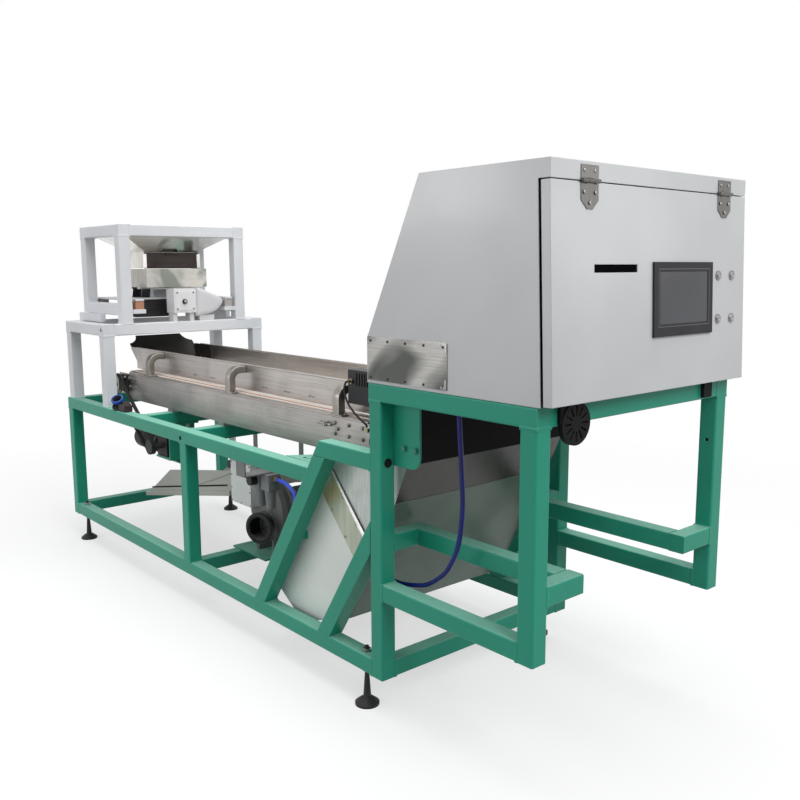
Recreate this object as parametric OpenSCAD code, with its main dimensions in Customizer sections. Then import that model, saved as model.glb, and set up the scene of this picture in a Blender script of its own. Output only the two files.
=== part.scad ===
// Optical colour sorter, belt type: a vibrating feeder drops the product on a
// belt, cameras in the cabinet look at it as it leaves the belt, air jets part it.
// Frame: X along the belt towards the operator's door, Z up, floor at Z = 0.

/* [Welded frame] */
// Feed end to the front face of the main posts
frame_len = 2770; // [2600:10:3000]
// Front face of the main posts to the front face of the cabinet posts
front_len = 650; // [580:10:760]
// Width of the frame over its tubes
frame_w = 970; // [900:10:1060]
// Side of the square tube
tube = 60; // [50:1:66]
// Wall of the square tube
tube_wall = 3; // [2:0.5:5]
// Outer corner radius of the square tube
tube_r = 6; // [4:0.5:8]
// Floor to the underside of the base rails
foot_h = 135; // [120:1:160]
// Floor to the top of the upper rails
upper_h = 800; // [780:5:810]
// Floor to the top of the cabinet rails
top_h = 1145; // [1120:5:1200]
// Floor to the underside of the cabinet posts
step_h = 415; // [360:5:460]
// Floor to the underside of the inner rails of the bin bay
inner_h = 577; // [545:1:620]
// Clear gap between the outer and the inner rails of the bin bay
inner_gap = 100; // [80:1:130]
// Feed end to the centre of the middle posts
mid_post_at = 1377; // [1200:1:1450]
// Slope of the struts
strut_angle = 57; // [54:0.5:60]
// Length of the head rails along their top
head_rail_len = 285; // [260:1:310]
// Floor to the top of the head rails
head_rail_h = 910; // [890:1:940]
// Height at which the rear struts meet the main posts
strut_meet_h = 568; // [540:1:600]
// Welding gap left between two tubes of one piece
weld = 0.2; // [0.1:0.05:0.4]
// Thickness of the gusset plates
gusset_t = 8; // [5:0.5:12]
// Length of the gusset plates along the belt
gusset_len = 130; // [110:1:150]
// Depth of the gusset plates
gusset_h = 212; // [205:1:240]
// Corner radius of the gusset plates
gusset_r = 40; // [20:1:60]

/* [Levelling feet] */
// Radius of the foot pad
pad_r = 43; // [35:1:50]
// Radius of the foot's threaded stem
stem_r = 8; // [6:0.5:10]
// Distance of the feet from the ends of the base rails
foot_inset = 60; // [45:1:100]
// Height of the foot nuts
nut_h = 12; // [8:1:16]
// Half the width across flats of the foot nuts
nut_half = 13; // [12:0.5:16]
// Radial clearance of threads and screws in their holes
screw_gap = 0.1; // [0.05:0.05:0.5]

/* [Feeder stands] */
// Length of both stands along the belt
stand_len = 520; // [480:5:560]
// Width of the lower stand
stand_w = 944; // [900:2:970]
// Floor to the top of the lower stand
stand_h = 1228; // [1210:2:1250]
// Width of the hopper stand
loft_w = 730; // [690:2:770]
// Height of the hopper stand over the lower stand
loft_rise = 512; // [490:2:540]
// Side of the stands' square tube
stand_tube = 60; // [50:1:64]

/* [Hopper and feeder] */
// Sheet thickness of the hopper, the tray and the chutes
sheet = 3; // [2:0.5:4]
// Length of the hopper outlet along the belt
outlet_len = 210; // [180:2:230]
// Width of the hopper outlet
outlet_w = 310; // [280:2:330]
// Length of the hopper's straight neck
neck_len = 86; // [75:1:95]
// Height of the outlet over the lower stand, as a share of the hopper stand's height
neck_share = 0.5625; // [0.54:0.0025:0.58]
// Gap between the neck and the tray
feed_gap = 5; // [3:0.5:8]
// Width of the vibrating tray
tray_w = 356; // [348:2:380]
// Depth of the vibrating tray
tray_depth = 100; // [80:2:110]
// Clearance of the tray over its springs
tray_gap = 0.3; // [0.2:0.1:0.5]
// Thickness of the leaf springs
leaf_t = 6; // [4:0.5:8]
// Travel of the gate plate
gate_travel = 60; // [40:5:70]
// Clearance of the gate plate in its guides
gate_gap = 0.3; // [0.2:0.1:0.5]

/* [Control box] */
// Width of the feeder's control box
box_w = 131; // [120:1:150]
// Height of the feeder's control box
box_h = 130; // [120:1:150]
// Depth of the feeder's control box
box_d = 90; // [70:1:110]
// Radius of the speed knob
knob_r = 14; // [10:0.5:18]
// Radius of the knobs' spindles
spindle_r = 4; // [3:0.5:5]
// Radial clearance of turning spindles and shafts
run_gap = 0.05; // [0.02:0.01:0.1]

/* [Belt conveyor] */
// Height of the conveyor's feet over the upper rails
plate_rise = 15; // [8:1:22]
// Height of the conveyor's side plates
plate_h = 135; // [130:1:145]
// Thickness of the side plates
plate_t = 4; // [3:0.5:6]
// Width over the side plates
plate_w = 580; // [560:2:620]
// Width of the side plates' flanges
flange = 30; // [22:1:34]
// Feed end of the frame to the axis of the drive roller
roller_at = 335; // [320:1:360]
// Distance between the roller axes
roller_span = 2200; // [2150:5:2220]
// Radius of the rollers
roller_r = 60; // [56:0.5:60]
// Radius of the roller shafts
shaft_r = 15; // [12:0.5:18]
// Width of the belt
belt_w = 490; // [460:2:500]
// Thickness of the belt
belt_t = 4; // [3:0.5:5]
// Clearance between the belt and the rollers
belt_gap = 0.3; // [0.2:0.1:0.5]
// Thickness of the slider bed under the belt
bed_t = 6; // [4:0.5:8]
// Inner width between the guards
guard_w = 390; // [360:2:410]
// Thickness of the guards
guard_t = 3; // [2:0.5:4]
// Gap between the belt and the guards
guard_gap = 5; // [3:0.5:8]
// Height of the guards
guard_h = 114; // [100:1:125]
// Width of the arched guard brackets
arch_w = 42; // [30:1:50]
// Thickness of the arched guard brackets
arch_t = 5; // [4:0.5:8]
// Outer radius of the arched guard brackets
arch_r = 55; // [40:1:70]

/* [Drive] */
// Pitch radius of the motor pulley
motor_pulley_r = 34; // [28:0.5:40]
// Pitch radius of the roller pulley
roller_pulley_r = 51; // [46:0.5:56]
// Width of the drive belt
drive_w = 20; // [15:1:25]
// Thickness of the drive belt
drive_t = 5; // [4:0.5:6]
// Radius of the motor
motor_r = 62; // [55:1:66]

/* [Cabinet] */
// Height of the cabinet over its rails
cab_h = 640; // [610:5:680]
// Length of the cabinet's flat top
cab_top_len = 465; // [440:5:500]
// Height of the upright rear edge
cab_rear_h = 145; // [140:1:170]
// Sheet thickness of the cabinet
cab_t = 3; // [2:0.5:4]
// How far the door's lower edge stands out past the cabinet posts
door_over = 50; // [46:1:60]
// How far the door leans over its height
door_lean = 23; // [15:1:26]
// Height of the fixed strip above the door
header_h = 50; // [46:1:60]
// Depth of the door's folded edge
door_d = 30; // [25:1:32]
// Sheet thickness of the door
door_t = 3; // [2:0.5:4]
// Gap round the door
door_gap = 3; // [2:0.5:5]
// Width of a hinge
hinge_w = 74; // [60:1:90]
// Radius of the hinge knuckles
knuckle_r = 6; // [5:0.5:7]
// Thickness of the hinge leaves
leaf_hinge_t = 2.5; // [2:0.5:3]

/* [Operator panel] */
// Width of the touch panel's bezel
screen_w = 318; // [290:1:330]
// Height of the touch panel's bezel
screen_h = 217; // [200:1:230]
// Width of the glass
glass_w = 258; // [240:1:270]
// Height of the glass
glass_h = 152; // [140:1:165]
// How far the bezel stands out from the door
bezel_t = 7; // [5:0.5:10]
// Radius of the push buttons' rings
ring_r = 15; // [13:0.5:17]
// Radius of the push buttons' caps
cap_r = 10.5; // [8:0.5:11]
// Travel of the push buttons
press = 3; // [2:0.5:4]

/* [Chute and optics] */
// Clear gap between the chute's side walls and the struts
chute_gap = 30; // [26:1:40]
// Depth of the black lamp box under the cabinet
lamp_d = 90; // [70:1:100]
// Height of the black lamp box
lamp_h = 185; // [170:1:195]

/* [Air] */
// Outer radius of the air hose
hose_r = 8; // [6:0.5:10]
// Outer radius of the sensor's cable
cable_r = 4; // [3:0.5:5]

/* [Hidden] */
$fn = 40;
eps = 0.01;
green = [0.18, 0.58, 0.47];
white = [0.9, 0.9, 0.92];
steel = [0.68, 0.67, 0.65];
pale = [0.78, 0.8, 0.8];
dark = [0.12, 0.12, 0.13];

// Places along the belt
x_feed = -(frame_len + front_len + door_over) / 2;
x_main = x_feed + frame_len;
x_front = x_main + front_len;
x_mid = x_feed + mid_post_at;
x_post = x_main - tube;
// Places across the belt
y_out = frame_w / 2;
y_in = y_out - tube;
y_tube = y_out - tube / 2;
// Centre heights of the rails
z_base = foot_h + tube / 2;
z_upper = upper_h - tube / 2;
z_top = top_h - tube / 2;
z_step = step_h + tube / 2;
z_inner = inner_h + tube / 2;
z_base_top = foot_h + tube;
z_upper_low = upper_h - tube;
z_top_low = top_h - tube;
// Struts: width along X, and X of a sloping edge at height z
strut_run = tube / sin(strut_angle);
x_head = x_post - head_rail_len;
function strut1_x(z) = x_head - (head_rail_h - z) / tan(strut_angle);
function strut2_x(z) = x_post - strut_run - (strut_meet_h - z) / tan(strut_angle);
// Cross rails under the conveyor
cross_x = [x_feed + tube / 2, x_feed + 868, x_mid, strut1_x(upper_h) - 95];
foot_x = [x_feed + tube + foot_inset, x_post - foot_inset];
// Inner rails of the bin bay
y_bay = y_in - inner_gap;
y_bay_mid = y_bay - tube / 2;
y_bay_in = y_bay - tube;
// Stands
x_stand = x_feed + stand_len;
stand_y = stand_w / 2 - stand_tube / 2;
loft_y = loft_w / 2 - stand_tube / 2;
stand_xs = [x_feed + stand_tube / 2, x_stand - stand_tube / 2];
loft_h = stand_h + loft_rise;
loft_rail_h = stand_h + 72;
// Bar at the foot of the hopper stand
foot_bar_t = 27;
foot_bar_h = 44;
foot_bar_len = 300;
// Hopper and tray
x_hop = (x_feed + x_stand) / 2;
hop_len = stand_len - 2 * stand_tube;
hop_w = loft_w - 2 * stand_tube;
x_neck = x_hop + outlet_len / 2;
x_tray = x_neck + 60;
x_tray_out = x_hop - outlet_len / 2 - 40;
neck_low = stand_h + neck_share * loft_rise;
neck_h = neck_low + neck_len;
tray_top = neck_low - feed_gap;
tray_low = tray_top - tray_depth;
gate_w = outlet_w + 14;
gate_low = neck_low - 3;
gate_h = neck_len + 2;
drop_len = 85;
// The feeder's base lies on rubber blocks, on bars fixed to the stand's posts
bar_low = stand_h + 50;
bar_h = 22;
block_h = 44;
block_y = [240, 287];
base_low = bar_low + bar_h + block_h;
base_t = 10;
leaf_low = base_low + base_t;
leaf_xs = [x_tray_out + 45, x_neck - 90];
leaf_y = tray_w / 2 - 60;
magnet_w = 120;
magnet_h = tray_low - leaf_low - 14;
x_magnet = (leaf_xs[0] + leaf_xs[1]) / 2;
// Control box on the front rail of the lower stand
x_box = x_stand + 5;
y_box = -8;
box_foot = 46;
z_box = stand_h + box_foot + box_h / 2;
face_w = box_w - 18;
face_h = box_h - 24;
y_knob = y_box - 6;
// Conveyor
plate_low = upper_h + plate_rise;
plate_top = plate_low + plate_h;
plate_y = plate_w / 2;
plate_in = plate_y - plate_t;
belt_low = plate_top + bed_t;
belt_top = belt_low + belt_t;
x_tail = x_feed + roller_at;
x_nose = x_tail + roller_span;
z_roll = belt_low - roller_r - belt_gap;
bed_end = roller_r + 20;
plate_end = roller_r + 10;
guard_low = belt_top + guard_gap;
guard_top = guard_low + guard_h;
guard_y = guard_w / 2 + guard_t;
x_guard = x_tail - 40;
x_guard_end = x_nose + 40;
arch_foot = 18;
arch_xs = [x_tail + 283, x_tail + 1110, x_tail + 1926];
// Bearings
housing_t = 12;
boss_t = 30;
housing_w = 92;
// Drive below the feed end
x_gear = x_feed + 725;
z_gear = z_upper_low - 136;
y_pulley = -(plate_y + boss_t + 6 + drive_w / 2);
gear_s = 110;
shelf_t = 8;
y_gear = -plate_y + 70;
// Cabinet
cab_low = top_h;
cab_top = cab_low + cab_h;
x_cab_rear = x_post - 5;
x_door_low = x_front + door_over;
x_door_top = x_door_low - door_lean;
z_seam = cab_top - header_h;
z_door_low = cab_low + 5;
door_tilt = atan(door_lean / (z_seam - z_door_low));
x_cab_front = x_door_top - door_d - 10;
x_cab_top = x_door_top - cab_top_len - 27;
cab_y = y_out;
door_len = (z_seam - z_door_low) / cos(door_tilt) - door_gap;
floor_t = 4;
hinge_ys = [-cab_y + 121 + hinge_w / 2, cab_y - 168 + hinge_w / 2];
hinge_x = x_door_top + knuckle_r + 0.3;
knuckle_w = 22;
cover_t = 2;
cover_x = [x_cab_rear + 4, x_cab_rear + 374];
cover_z = [cab_low + 10, cab_low + cab_rear_h + 5];
// Door items: place across and distance below the seam
screen_at = [cab_y - 360, 210 + screen_h / 2];
glass_at = screen_at - [0, 4];
button_ys = [screen_at[0] + 201, screen_at[0] + 282];
button_zs = [251, 386];
slot_at = [-cab_y + 278, 228];
slot_w = 198;
slot_h = 22;
// Slanted chute: side outline from the struts and the main posts
chute_y = y_in - chute_gap;
ch_a_z = head_rail_h - 191;
ch_a = [strut1_x(ch_a_z) - 19, ch_a_z];
ch_l = [strut1_x(242) + 1, 242];
ch_m = [ch_l[0] + 173, 133];
ch_n = [x_post - 231, 244];
ch_q = [x_main - 34, 728];
ch_x = [x_post - 142, 413];
ch_b = [ch_a[0] + 92, head_rail_h - 117];
ch_head = head_rail_h - 30;
// Lamp box and hood
x_lamp = x_main + 40;
lamp_low = z_top_low - 2 - lamp_h;
rail_hole_r = 11;
vent_r = 5;
plug_z = 883;
plug_r = 12;
// Blower on the middle cross rail
blow_x = x_mid + 160;
blow_y = -130;
blow_z = z_base_top + 8 + 205;
blow_r = 150;
// Air regulator under the near upper rail
reg_x = x_mid + 393;
reg_y = -300;
reg_low = 500;
reg_top = 652;
inlet_r = 8.5;
fit_z = 633;
x_fit = reg_x + 95;
// Sensor on the near guard
sensor_x = x_nose - 232;
sensor_len = 135;
sensor_d = 60;
sensor_low = 1007;
sensor_h = 128;
gland = [x_nose - 70, -plate_y - 14, plate_top - 14];

// Route of the blue air hose, from the regulator to the cabinet floor
hose_in = -y_in + 15;
hose_out = -y_in + 30;
hose_pts = [[x_fit, reg_y, fit_z], [reg_x + 140, reg_y - 4, 634], [reg_x + 210, reg_y - 20, 631],
    [reg_x + 285, reg_y - 45, 614], [x_main - 655, -385, 572], [x_main - 618, hose_in + 3, 510],
    [x_main - 635, hose_in, 445], [x_main - 680, hose_in, 380], [x_main - 717, hose_in, 315],
    [x_main - 745, hose_in, 255], [x_main - 745, hose_in, 205], [x_main - 705, hose_in, 170],
    [x_main - 635, hose_in, 158], [x_main - 515, hose_in, 156], [x_main - 415, hose_in, 165],
    [x_main - 345, hose_in, 205], [x_main - 300, hose_in, 270], [x_main - 255, hose_in, 345],
    [x_main - 205, hose_in + 2, 415], [x_main - 145, hose_in + 7, 452], [x_main - 85, hose_out - 3, 458],
    [x_main - 25, hose_out, 456], [x_main + 37, hose_out, 464], [x_main + 122, hose_out, 488],
    [x_main + 201, hose_out, 543], [x_main + 245, hose_out, 604], [x_main + 270, hose_out, 668],
    [x_main + 281, hose_out, 734], [x_main + 285, hose_out, 800], [x_main + 282, hose_out, 864],
    [x_main + 275, hose_out, 964], [x_main + 268, hose_out, 1060], [x_main + 267, hose_out, top_h - 30]];
hose_end = hose_pts[len(hose_pts) - 1];
// Route of the sensor's cable, from its plug to the gland on the side plate
plug_at = [sensor_x + 24, -guard_y - sensor_d - 20, sensor_low + 86];
cable_pts = [plug_at, plug_at + [1, -10, -3], plug_at + [5, -20, -23], plug_at + [14, -24, -48],
    plug_at + [36, -26, -78], plug_at + [70, -27, -105], plug_at + [105, -27, -125],
    gland + [-14, -2, 24], gland + [-1, 3, 14], gland + [0, 5, 4.5]];

// Helpers
module rounded(s, r) {
    square([s, s - 2 * r], center = true);
    square([s - 2 * r, s], center = true);
    for (x = [-1, 1], y = [-1, 1])
        translate([x, y] * (s / 2 - r)) circle(r, $fn = 24);
}

module tube_outline(s) {
    difference() {
        rounded(s, tube_r);
        rounded(s - 2 * tube_wall, max(tube_r - tube_wall, 1));
    }
}

// Square tubes along X, Y and Z; ends lists the closed ones, 0 for the first and 1 for the last
module square_tube(l, s, ends) {
    linear_extrude(l) tube_outline(s);
    for (e = ends)
        translate([0, 0, e * (l - tube_wall)]) linear_extrude(tube_wall)
            rounded(s - tube_wall, tube_r - tube_wall / 2);
}

module tube_x(x0, x1, y, z, s = tube, ends = []) {
    translate([x0, y, z]) rotate([90, 0, 90]) square_tube(x1 - x0, s, ends);
}

module tube_y(y0, y1, x, z, s = tube, ends = []) {
    translate([x, y0, z]) rotate([-90, 0, 0]) square_tube(y1 - y0, s, ends);
}

module tube_z(z0, z1, x, y, s = tube, ends = []) {
    translate([x, y, z0]) square_tube(z1 - z0, s, ends);
}

// A plate in the XZ plane, from its outline, with its lower Y face at y
module upright(y, t) {
    translate([0, y + t, 0]) rotate([90, 0, 0]) linear_extrude(t) children();
}

// A profile in the YZ plane, drawn from x on
module across(x, t) {
    translate([x, 0, 0]) rotate([90, 0, 90]) linear_extrude(t) children();
}

// Cylinders along X and Y
module rod_x(r, l) { rotate([0, 90, 0]) cylinder(r = r, h = l); }

module rod_y(r, l) { rotate([-90, 0, 0]) cylinder(r = r, h = l); }

// A block from its low corner to its high corner
module block(a, b) { translate(a) cube(b - a); }

module both_sides() {
    children();
    mirror([0, 1, 0]) children();
}

// A hexagon head with a round washer, standing along +Z
module bolt_head(r) {
    cylinder(r = r * 1.25, h = r * 0.3, $fn = 24);
    translate([0, 0, r * 0.3 - eps]) cylinder(r = r, h = r * 0.8, $fn = 6);
}

// A strip of thickness t along a list of XZ points, as a closed outline
module strip(p, q, t) {
    d = (q - p) / norm(q - p);
    n = [-d[1], d[0]] * t;
    polygon([p, q, q + n, p + n]);
}

// A free cord: a tube of round section along its points
function unit(v) = v / norm(v);
function cord_dir(p, i) = unit(p[min(i + 1, len(p) - 1)] - p[max(i - 1, 0)]);
function cord_ring(p, i, r, n) = let (d = cord_dir(p, i),
    a = abs(d[2]) < 0.9 ? unit(cross(d, [0, 0, 1])) : unit(cross(d, [0, 1, 0])), b = cross(d, a))
    [for (k = [0 : n - 1]) p[i] + r * (a * cos(360 * k / n) + b * sin(360 * k / n))];
function spline(p, i, t) = let (n = len(p) - 1, a = p[max(i - 1, 0)], b = p[i], c = p[min(i + 1, n)],
    d = p[min(i + 2, n)]) 0.5 * (2 * b + (c - a) * t + (2 * a - 5 * b + 4 * c - d) * t * t
    + (3 * b - a - 3 * c + d) * t * t * t);
function cord_points(p) = concat([for (i = [0 : len(p) - 2], t = [0, 0.5]) spline(p, i, t)],
    [p[len(p) - 1]]);

module cord(route, r, n) {
    p = cord_points(route);
    m = len(p);
    pts = [for (i = [0 : m - 1]) each cord_ring(p, i, r, n)];
    sides = [for (i = [0 : m - 2], k = [0 : n - 1])
        [i * n + k, i * n + (k + 1) % n, (i + 1) * n + (k + 1) % n, (i + 1) * n + k]];
    ends = [[for (k = [n - 1 : -1 : 0]) k], [for (k = [0 : n - 1]) (m - 1) * n + k]];
    polyhedron(pts, concat(sides, ends), convexity = 10);
}

// Welded frame
module base_rails() {
    color(green) {
        both_sides() difference() {
            tube_x(x_feed + tube, x_post, -y_tube, z_base);
            for (x = foot_x)
                translate([x, -y_tube, foot_h - 1]) cylinder(r = stem_r + screw_gap, h = tube + 2);
        }
        tube_y(-y_in, y_in, x_feed + tube / 2, z_base);
        tube_y(-y_in + weld, y_in - weld, x_mid, z_base);
        tube_y(-y_in, y_in, x_post + tube / 2, z_base);
    }
}

module frame_posts() {
    hole_x = x_main - tube_wall - 1;
    color(green) both_sides() {
        tube_z(foot_h, z_upper_low, x_feed + tube / 2, -y_tube, ends = [0]);
        tube_z(z_base_top, z_upper_low, x_mid, -y_tube);
        difference() {
            tube_z(foot_h, z_top_low, x_post + tube / 2, -y_tube, ends = [0]);
            translate([hole_x, -y_tube, plug_z]) rod_x(plug_r + screw_gap, tube_wall + 2);
        }
    }
}

module corner_plate() {
    x = cross_x[3] - tube / 2;
    translate([0, 0, upper_h - 6]) linear_extrude(6) difference() {
        polygon([[x - 105, -y_in], [x - weld, -y_in], [x - weld, -y_in + 95], [x - 40, -y_in + 95]]);
        translate([x - 24, -y_in + 32]) circle(8);
    }
}

module upper_rails() {
    end_low = z_upper_low - 1;
    end_high = upper_h + 1;
    color(green) {
        both_sides() difference() {
            tube_x(x_feed, strut1_x(upper_h), -y_tube, z_upper, ends = [0]);
            upright(-y_out - 1, tube + 2) polygon([[strut1_x(end_high), end_high],
                [strut1_x(end_low), end_low], [x_main, end_low], [x_main, end_high]]);
            translate([x_mid - 18, -y_out - 1, z_upper - 8]) rod_y(rail_hole_r, tube_wall + 2);
        }
        for (x = cross_x)
            tube_y(-y_in + weld, y_in - weld, x, z_upper);
        both_sides() corner_plate();
    }
}

// A sloping tube with level ends: xa and xb are X of its rear edge at both heights
module hollow_strut(xa, xb, za, zb) {
    wall = tube_wall / sin(strut_angle);
    far = strut_run - wall;
    past = 1 / tan(strut_angle);
    difference() {
        upright(-y_out, tube)
            polygon([[xa, za], [xa + strut_run, za], [xb + strut_run, zb], [xb, zb]]);
        upright(-y_out + tube_wall, tube - 2 * tube_wall)
            polygon([[xa + wall - past, za - 1], [xa + far - past, za - 1],
                [xb + far + past, zb + 1], [xb + wall + past, zb + 1]]);
    }
}

// The struts carry the head rails, which run on to the main posts
module slant_struts() {
    z_head = head_rail_h - tube;
    z_end = z_head - weld;
    z_cut = strut_meet_h + strut_run * tan(strut_angle);
    color(green) both_sides() {
        hollow_strut(strut1_x(z_base_top), strut1_x(z_end), z_base_top, z_end);
        difference() {
            hollow_strut(strut2_x(z_base_top), strut2_x(z_cut), z_base_top, z_cut);
            block([x_post, -y_out - 1, z_base_top], [x_main + tube, -y_in + 1, z_cut + 2]);
        }
        difference() {
            tube_x(strut1_x(z_head), x_post, -y_tube, head_rail_h - tube / 2);
            upright(-y_out - 1, tube + 2) polygon([[strut1_x(z_head) - 1, z_head],
                [strut1_x(z_head), z_head], [x_head, head_rail_h], [x_head, head_rail_h + 1],
                [strut1_x(z_head) - 1, head_rail_h + 1]]);
        }
    }
}

// Rails that carry the cabinet, with a gusset under each side rail
module cabinet_rails() {
    color(green) {
        both_sides() {
            difference() {
                tube_x(x_post, x_front, -y_tube, z_top, ends = [0, 1]);
                translate([x_main + tube, -y_in - tube_wall - 1, z_top]) rod_y(vent_r, tube_wall + 2);
            }
            gusset_plate();
        }
        tube_y(-y_in + weld, y_in - weld, x_front - tube / 2, z_top);
        tube_y(-y_in + weld, y_in - weld, x_post + tube / 2, z_top);
    }
}

module gusset_plate() {
    top = z_top_low - weld;
    low = top - gusset_h;
    difference() {
        upright(-y_in - gusset_t, gusset_t) {
            translate([x_main, low + gusset_r]) square([gusset_len, top - low - gusset_r]);
            translate([x_main, low]) square([gusset_len - gusset_r, top - low]);
            translate([x_main + gusset_len - gusset_r, low + gusset_r]) circle(gusset_r);
        }
        gusset_bolt_places() translate([0, 0, -gusset_t - 1]) cylinder(r = 5 + screw_gap, h = gusset_t + 2);
    }
}

module gusset_bolt_places() {
    for (x = [x_lamp + 20, x_lamp + lamp_d - 16])
        translate([x, -y_in - gusset_t, lamp_low + 40]) rotate([90, 0, 0]) children();
}

// Cabinet posts, the rails between them and the main posts, and the inner rails of the bin bay
module bay_frame() {
    color(green) both_sides() {
        difference() {
            tube_z(step_h, z_top_low, x_front - tube / 2, -y_tube, ends = [0]);
            translate([x_front - tube / 2, -y_in - tube_wall - 1, 936]) rod_y(6, tube_wall + 2);
        }
        tube_x(x_main, x_front - tube - weld, -y_tube, z_step);
        tube_x(x_main + weld, x_front - tube - weld, -y_bay_mid, z_inner);
        tube_y(-y_in, -y_bay_in, x_post + tube / 2, z_inner, ends = [1]);
        tube_y(-y_in + weld, -y_bay_in, x_front - tube / 2, z_inner, ends = [1]);
    }
}

// Brackets welded to the frame: motor shelf, blower plate, chute blocks
module support_brackets() {
    color(green) {
        motor_shelf();
        blower_plate();
        both_sides() chute_blocks();
    }
}

// Levelling feet: a cone pad, a stem that goes through the base rail, two nuts
module levelling_feet() {
    cone_top = foot_h - nut_h - 4;
    color(dark) both_sides() for (x = foot_x) translate([x, -y_tube, 0]) {
        rotate_extrude() polygon([[0, 0], [pad_r, 0], [pad_r, 9], [pad_r * 0.55, 24], [stem_r + 6, 30],
            [stem_r, cone_top], [0, cone_top]]);
        translate([0, 0, cone_top - eps]) cylinder(r = stem_r, h = z_base_top + nut_h + 8 - cone_top);
    }
}

module foot_nuts() {
    both_sides() for (x = foot_x, z = [foot_h - nut_h, z_base_top]) translate([x, -y_tube, z]) difference() {
        cylinder(r = nut_half / cos(30), h = nut_h, $fn = 6);
        translate([0, 0, -1]) cylinder(r = stem_r + screw_gap, h = nut_h + 2);
    }
}

module gusset_bolts() {
    both_sides() gusset_bolt_places() {
        bolt_head(9);
        translate([0, 0, -gusset_t - 20]) cylinder(r = 5, h = gusset_t + 20 + eps);
    }
}

module bearing_bolts() {
    both_sides() for (x = [x_tail, x_nose], dx = [-34, 34], dz = [-34, 34])
        translate([x + dx, -plate_y - housing_t, z_roll + dz]) rotate([90, 0, 0]) {
            bolt_head(7);
            translate([0, 0, -housing_t]) cylinder(r = 5, h = housing_t + eps);
        }
}

// Bolts of the inner cross members that show on the side plates near the nose
module plate_bolts() {
    both_sides() {
        for (x = [x_nose - 275, x_nose - 190, x_nose - 105], z = [plate_top - 62, plate_top - 20])
            translate([x, -plate_y, z]) rotate([90, 0, 0]) bolt_head(7);
        translate([x_nose - 258, -plate_y, plate_top - 42]) rotate([90, 0, 0]) bolt_head(7);
    }
}

module bracket_bolts() {
    w = (arch_w + arch_foot) / 2;
    both_sides() for (x = arch_xs, s = [-w, w])
        translate([x + s, -plate_in + 22, belt_low + arch_t]) bolt_head(6);
}

module bolts() {
    color(steel) {
        bracket_bolts();
        foot_nuts();
        gusset_bolts();
        bearing_bolts();
        plate_bolts();
    }
}

// Black plastic on the frame: plugs in the main posts, door catches, a round slotted buffer
module front_fittings() {
    buffer_r = 61;
    color(dark) {
        both_sides() translate([x_main, -y_tube, plug_z]) {
            rod_x(plug_r + 3, 3);
            translate([-8, 0, 0]) rod_x(plug_r, 8 + eps);
        }
        for (y = [-y_out + 107, y_out - 140])
            block([x_front, y - 24, z_top - 22], [x_front + 12, y + 24, z_top + 30]);
        translate([x_front, -y_out + 147, z_top - 27]) difference() {
            rod_x(buffer_r, 16);
            for (a = [0 : 30 : 330])
                rotate([a, 0, 0]) translate([9, -3, 22]) cube([8, 6, buffer_r - 32]);
        }
    }
}

// Lower stand and hopper stand
module feeder_stand() {
    rail_z = stand_h - stand_tube / 2;
    color(white) {
        both_sides() {
            for (x = stand_xs)
                tube_z(upper_h, stand_h - stand_tube - weld, x, -stand_y, stand_tube);
            difference() {
                tube_x(x_feed, x_stand, -stand_y, rail_z, stand_tube, [0, 1]);
                translate([x_stand - stand_tube / 2, -stand_w / 2 - 1, rail_z]) rod_y(9, tube_wall + 2);
            }
        }
        for (x = stand_xs)
            tube_y(-stand_y + stand_tube / 2 + weld, stand_y - stand_tube / 2 - weld, x, rail_z, stand_tube);
    }
}

module hopper_stand() {
    rail_z = loft_h - stand_tube / 2;
    half = stand_tube / 2;
    color(white) {
        both_sides() {
            for (x = stand_xs) {
                tube_z(stand_h, loft_h - stand_tube - weld, x, -loft_y, stand_tube);
                block([x - half, -loft_y + half + weld, bar_low],
                    [x + half, -block_y[0] + 6, bar_low + bar_h]);
            }
            difference() {
                tube_x(x_feed, x_stand, -loft_y, rail_z, stand_tube, [0, 1]);
                translate([x_hop, -loft_y, loft_h - stand_tube - 1]) cylinder(r = vent_r, h = tube_wall + 2);
            }
            block([x_feed, -loft_w / 2 - foot_bar_t, stand_h],
                [x_feed + foot_bar_len, -loft_w / 2 - weld, stand_h + foot_bar_h]);
            tube_x(stand_xs[0] + half + weld, stand_xs[1] - half - weld, -loft_y, loft_rail_h, stand_tube);
        }
        for (x = stand_xs)
            tube_y(-loft_y + half + weld, loft_y - half - weld, x, rail_z, stand_tube);
    }
}

// Hopper: a rim on the stand, upright walls, four sloping walls, a straight neck
module funnel(grow, past) {
    l = hop_len + 2 * grow - 8;
    w = hop_w + 2 * grow - 8;
    bend = loft_h - stand_tube + 3;
    translate([x_hop - l / 2, -w / 2, bend]) cube([l, w, loft_h + past - bend]);
    hull() {
        translate([x_hop - l / 2, -w / 2, bend]) cube([l, w, eps]);
        translate([x_hop - outlet_len / 2 - grow, -outlet_w / 2 - grow, neck_h])
            cube([outlet_len + 2 * grow, outlet_w + 2 * grow, eps]);
    }
    translate([x_hop - outlet_len / 2 - grow, -outlet_w / 2 - grow, neck_low - past])
        cube([outlet_len + 2 * grow, outlet_w + 2 * grow, neck_h - neck_low + past + eps]);
}

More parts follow.
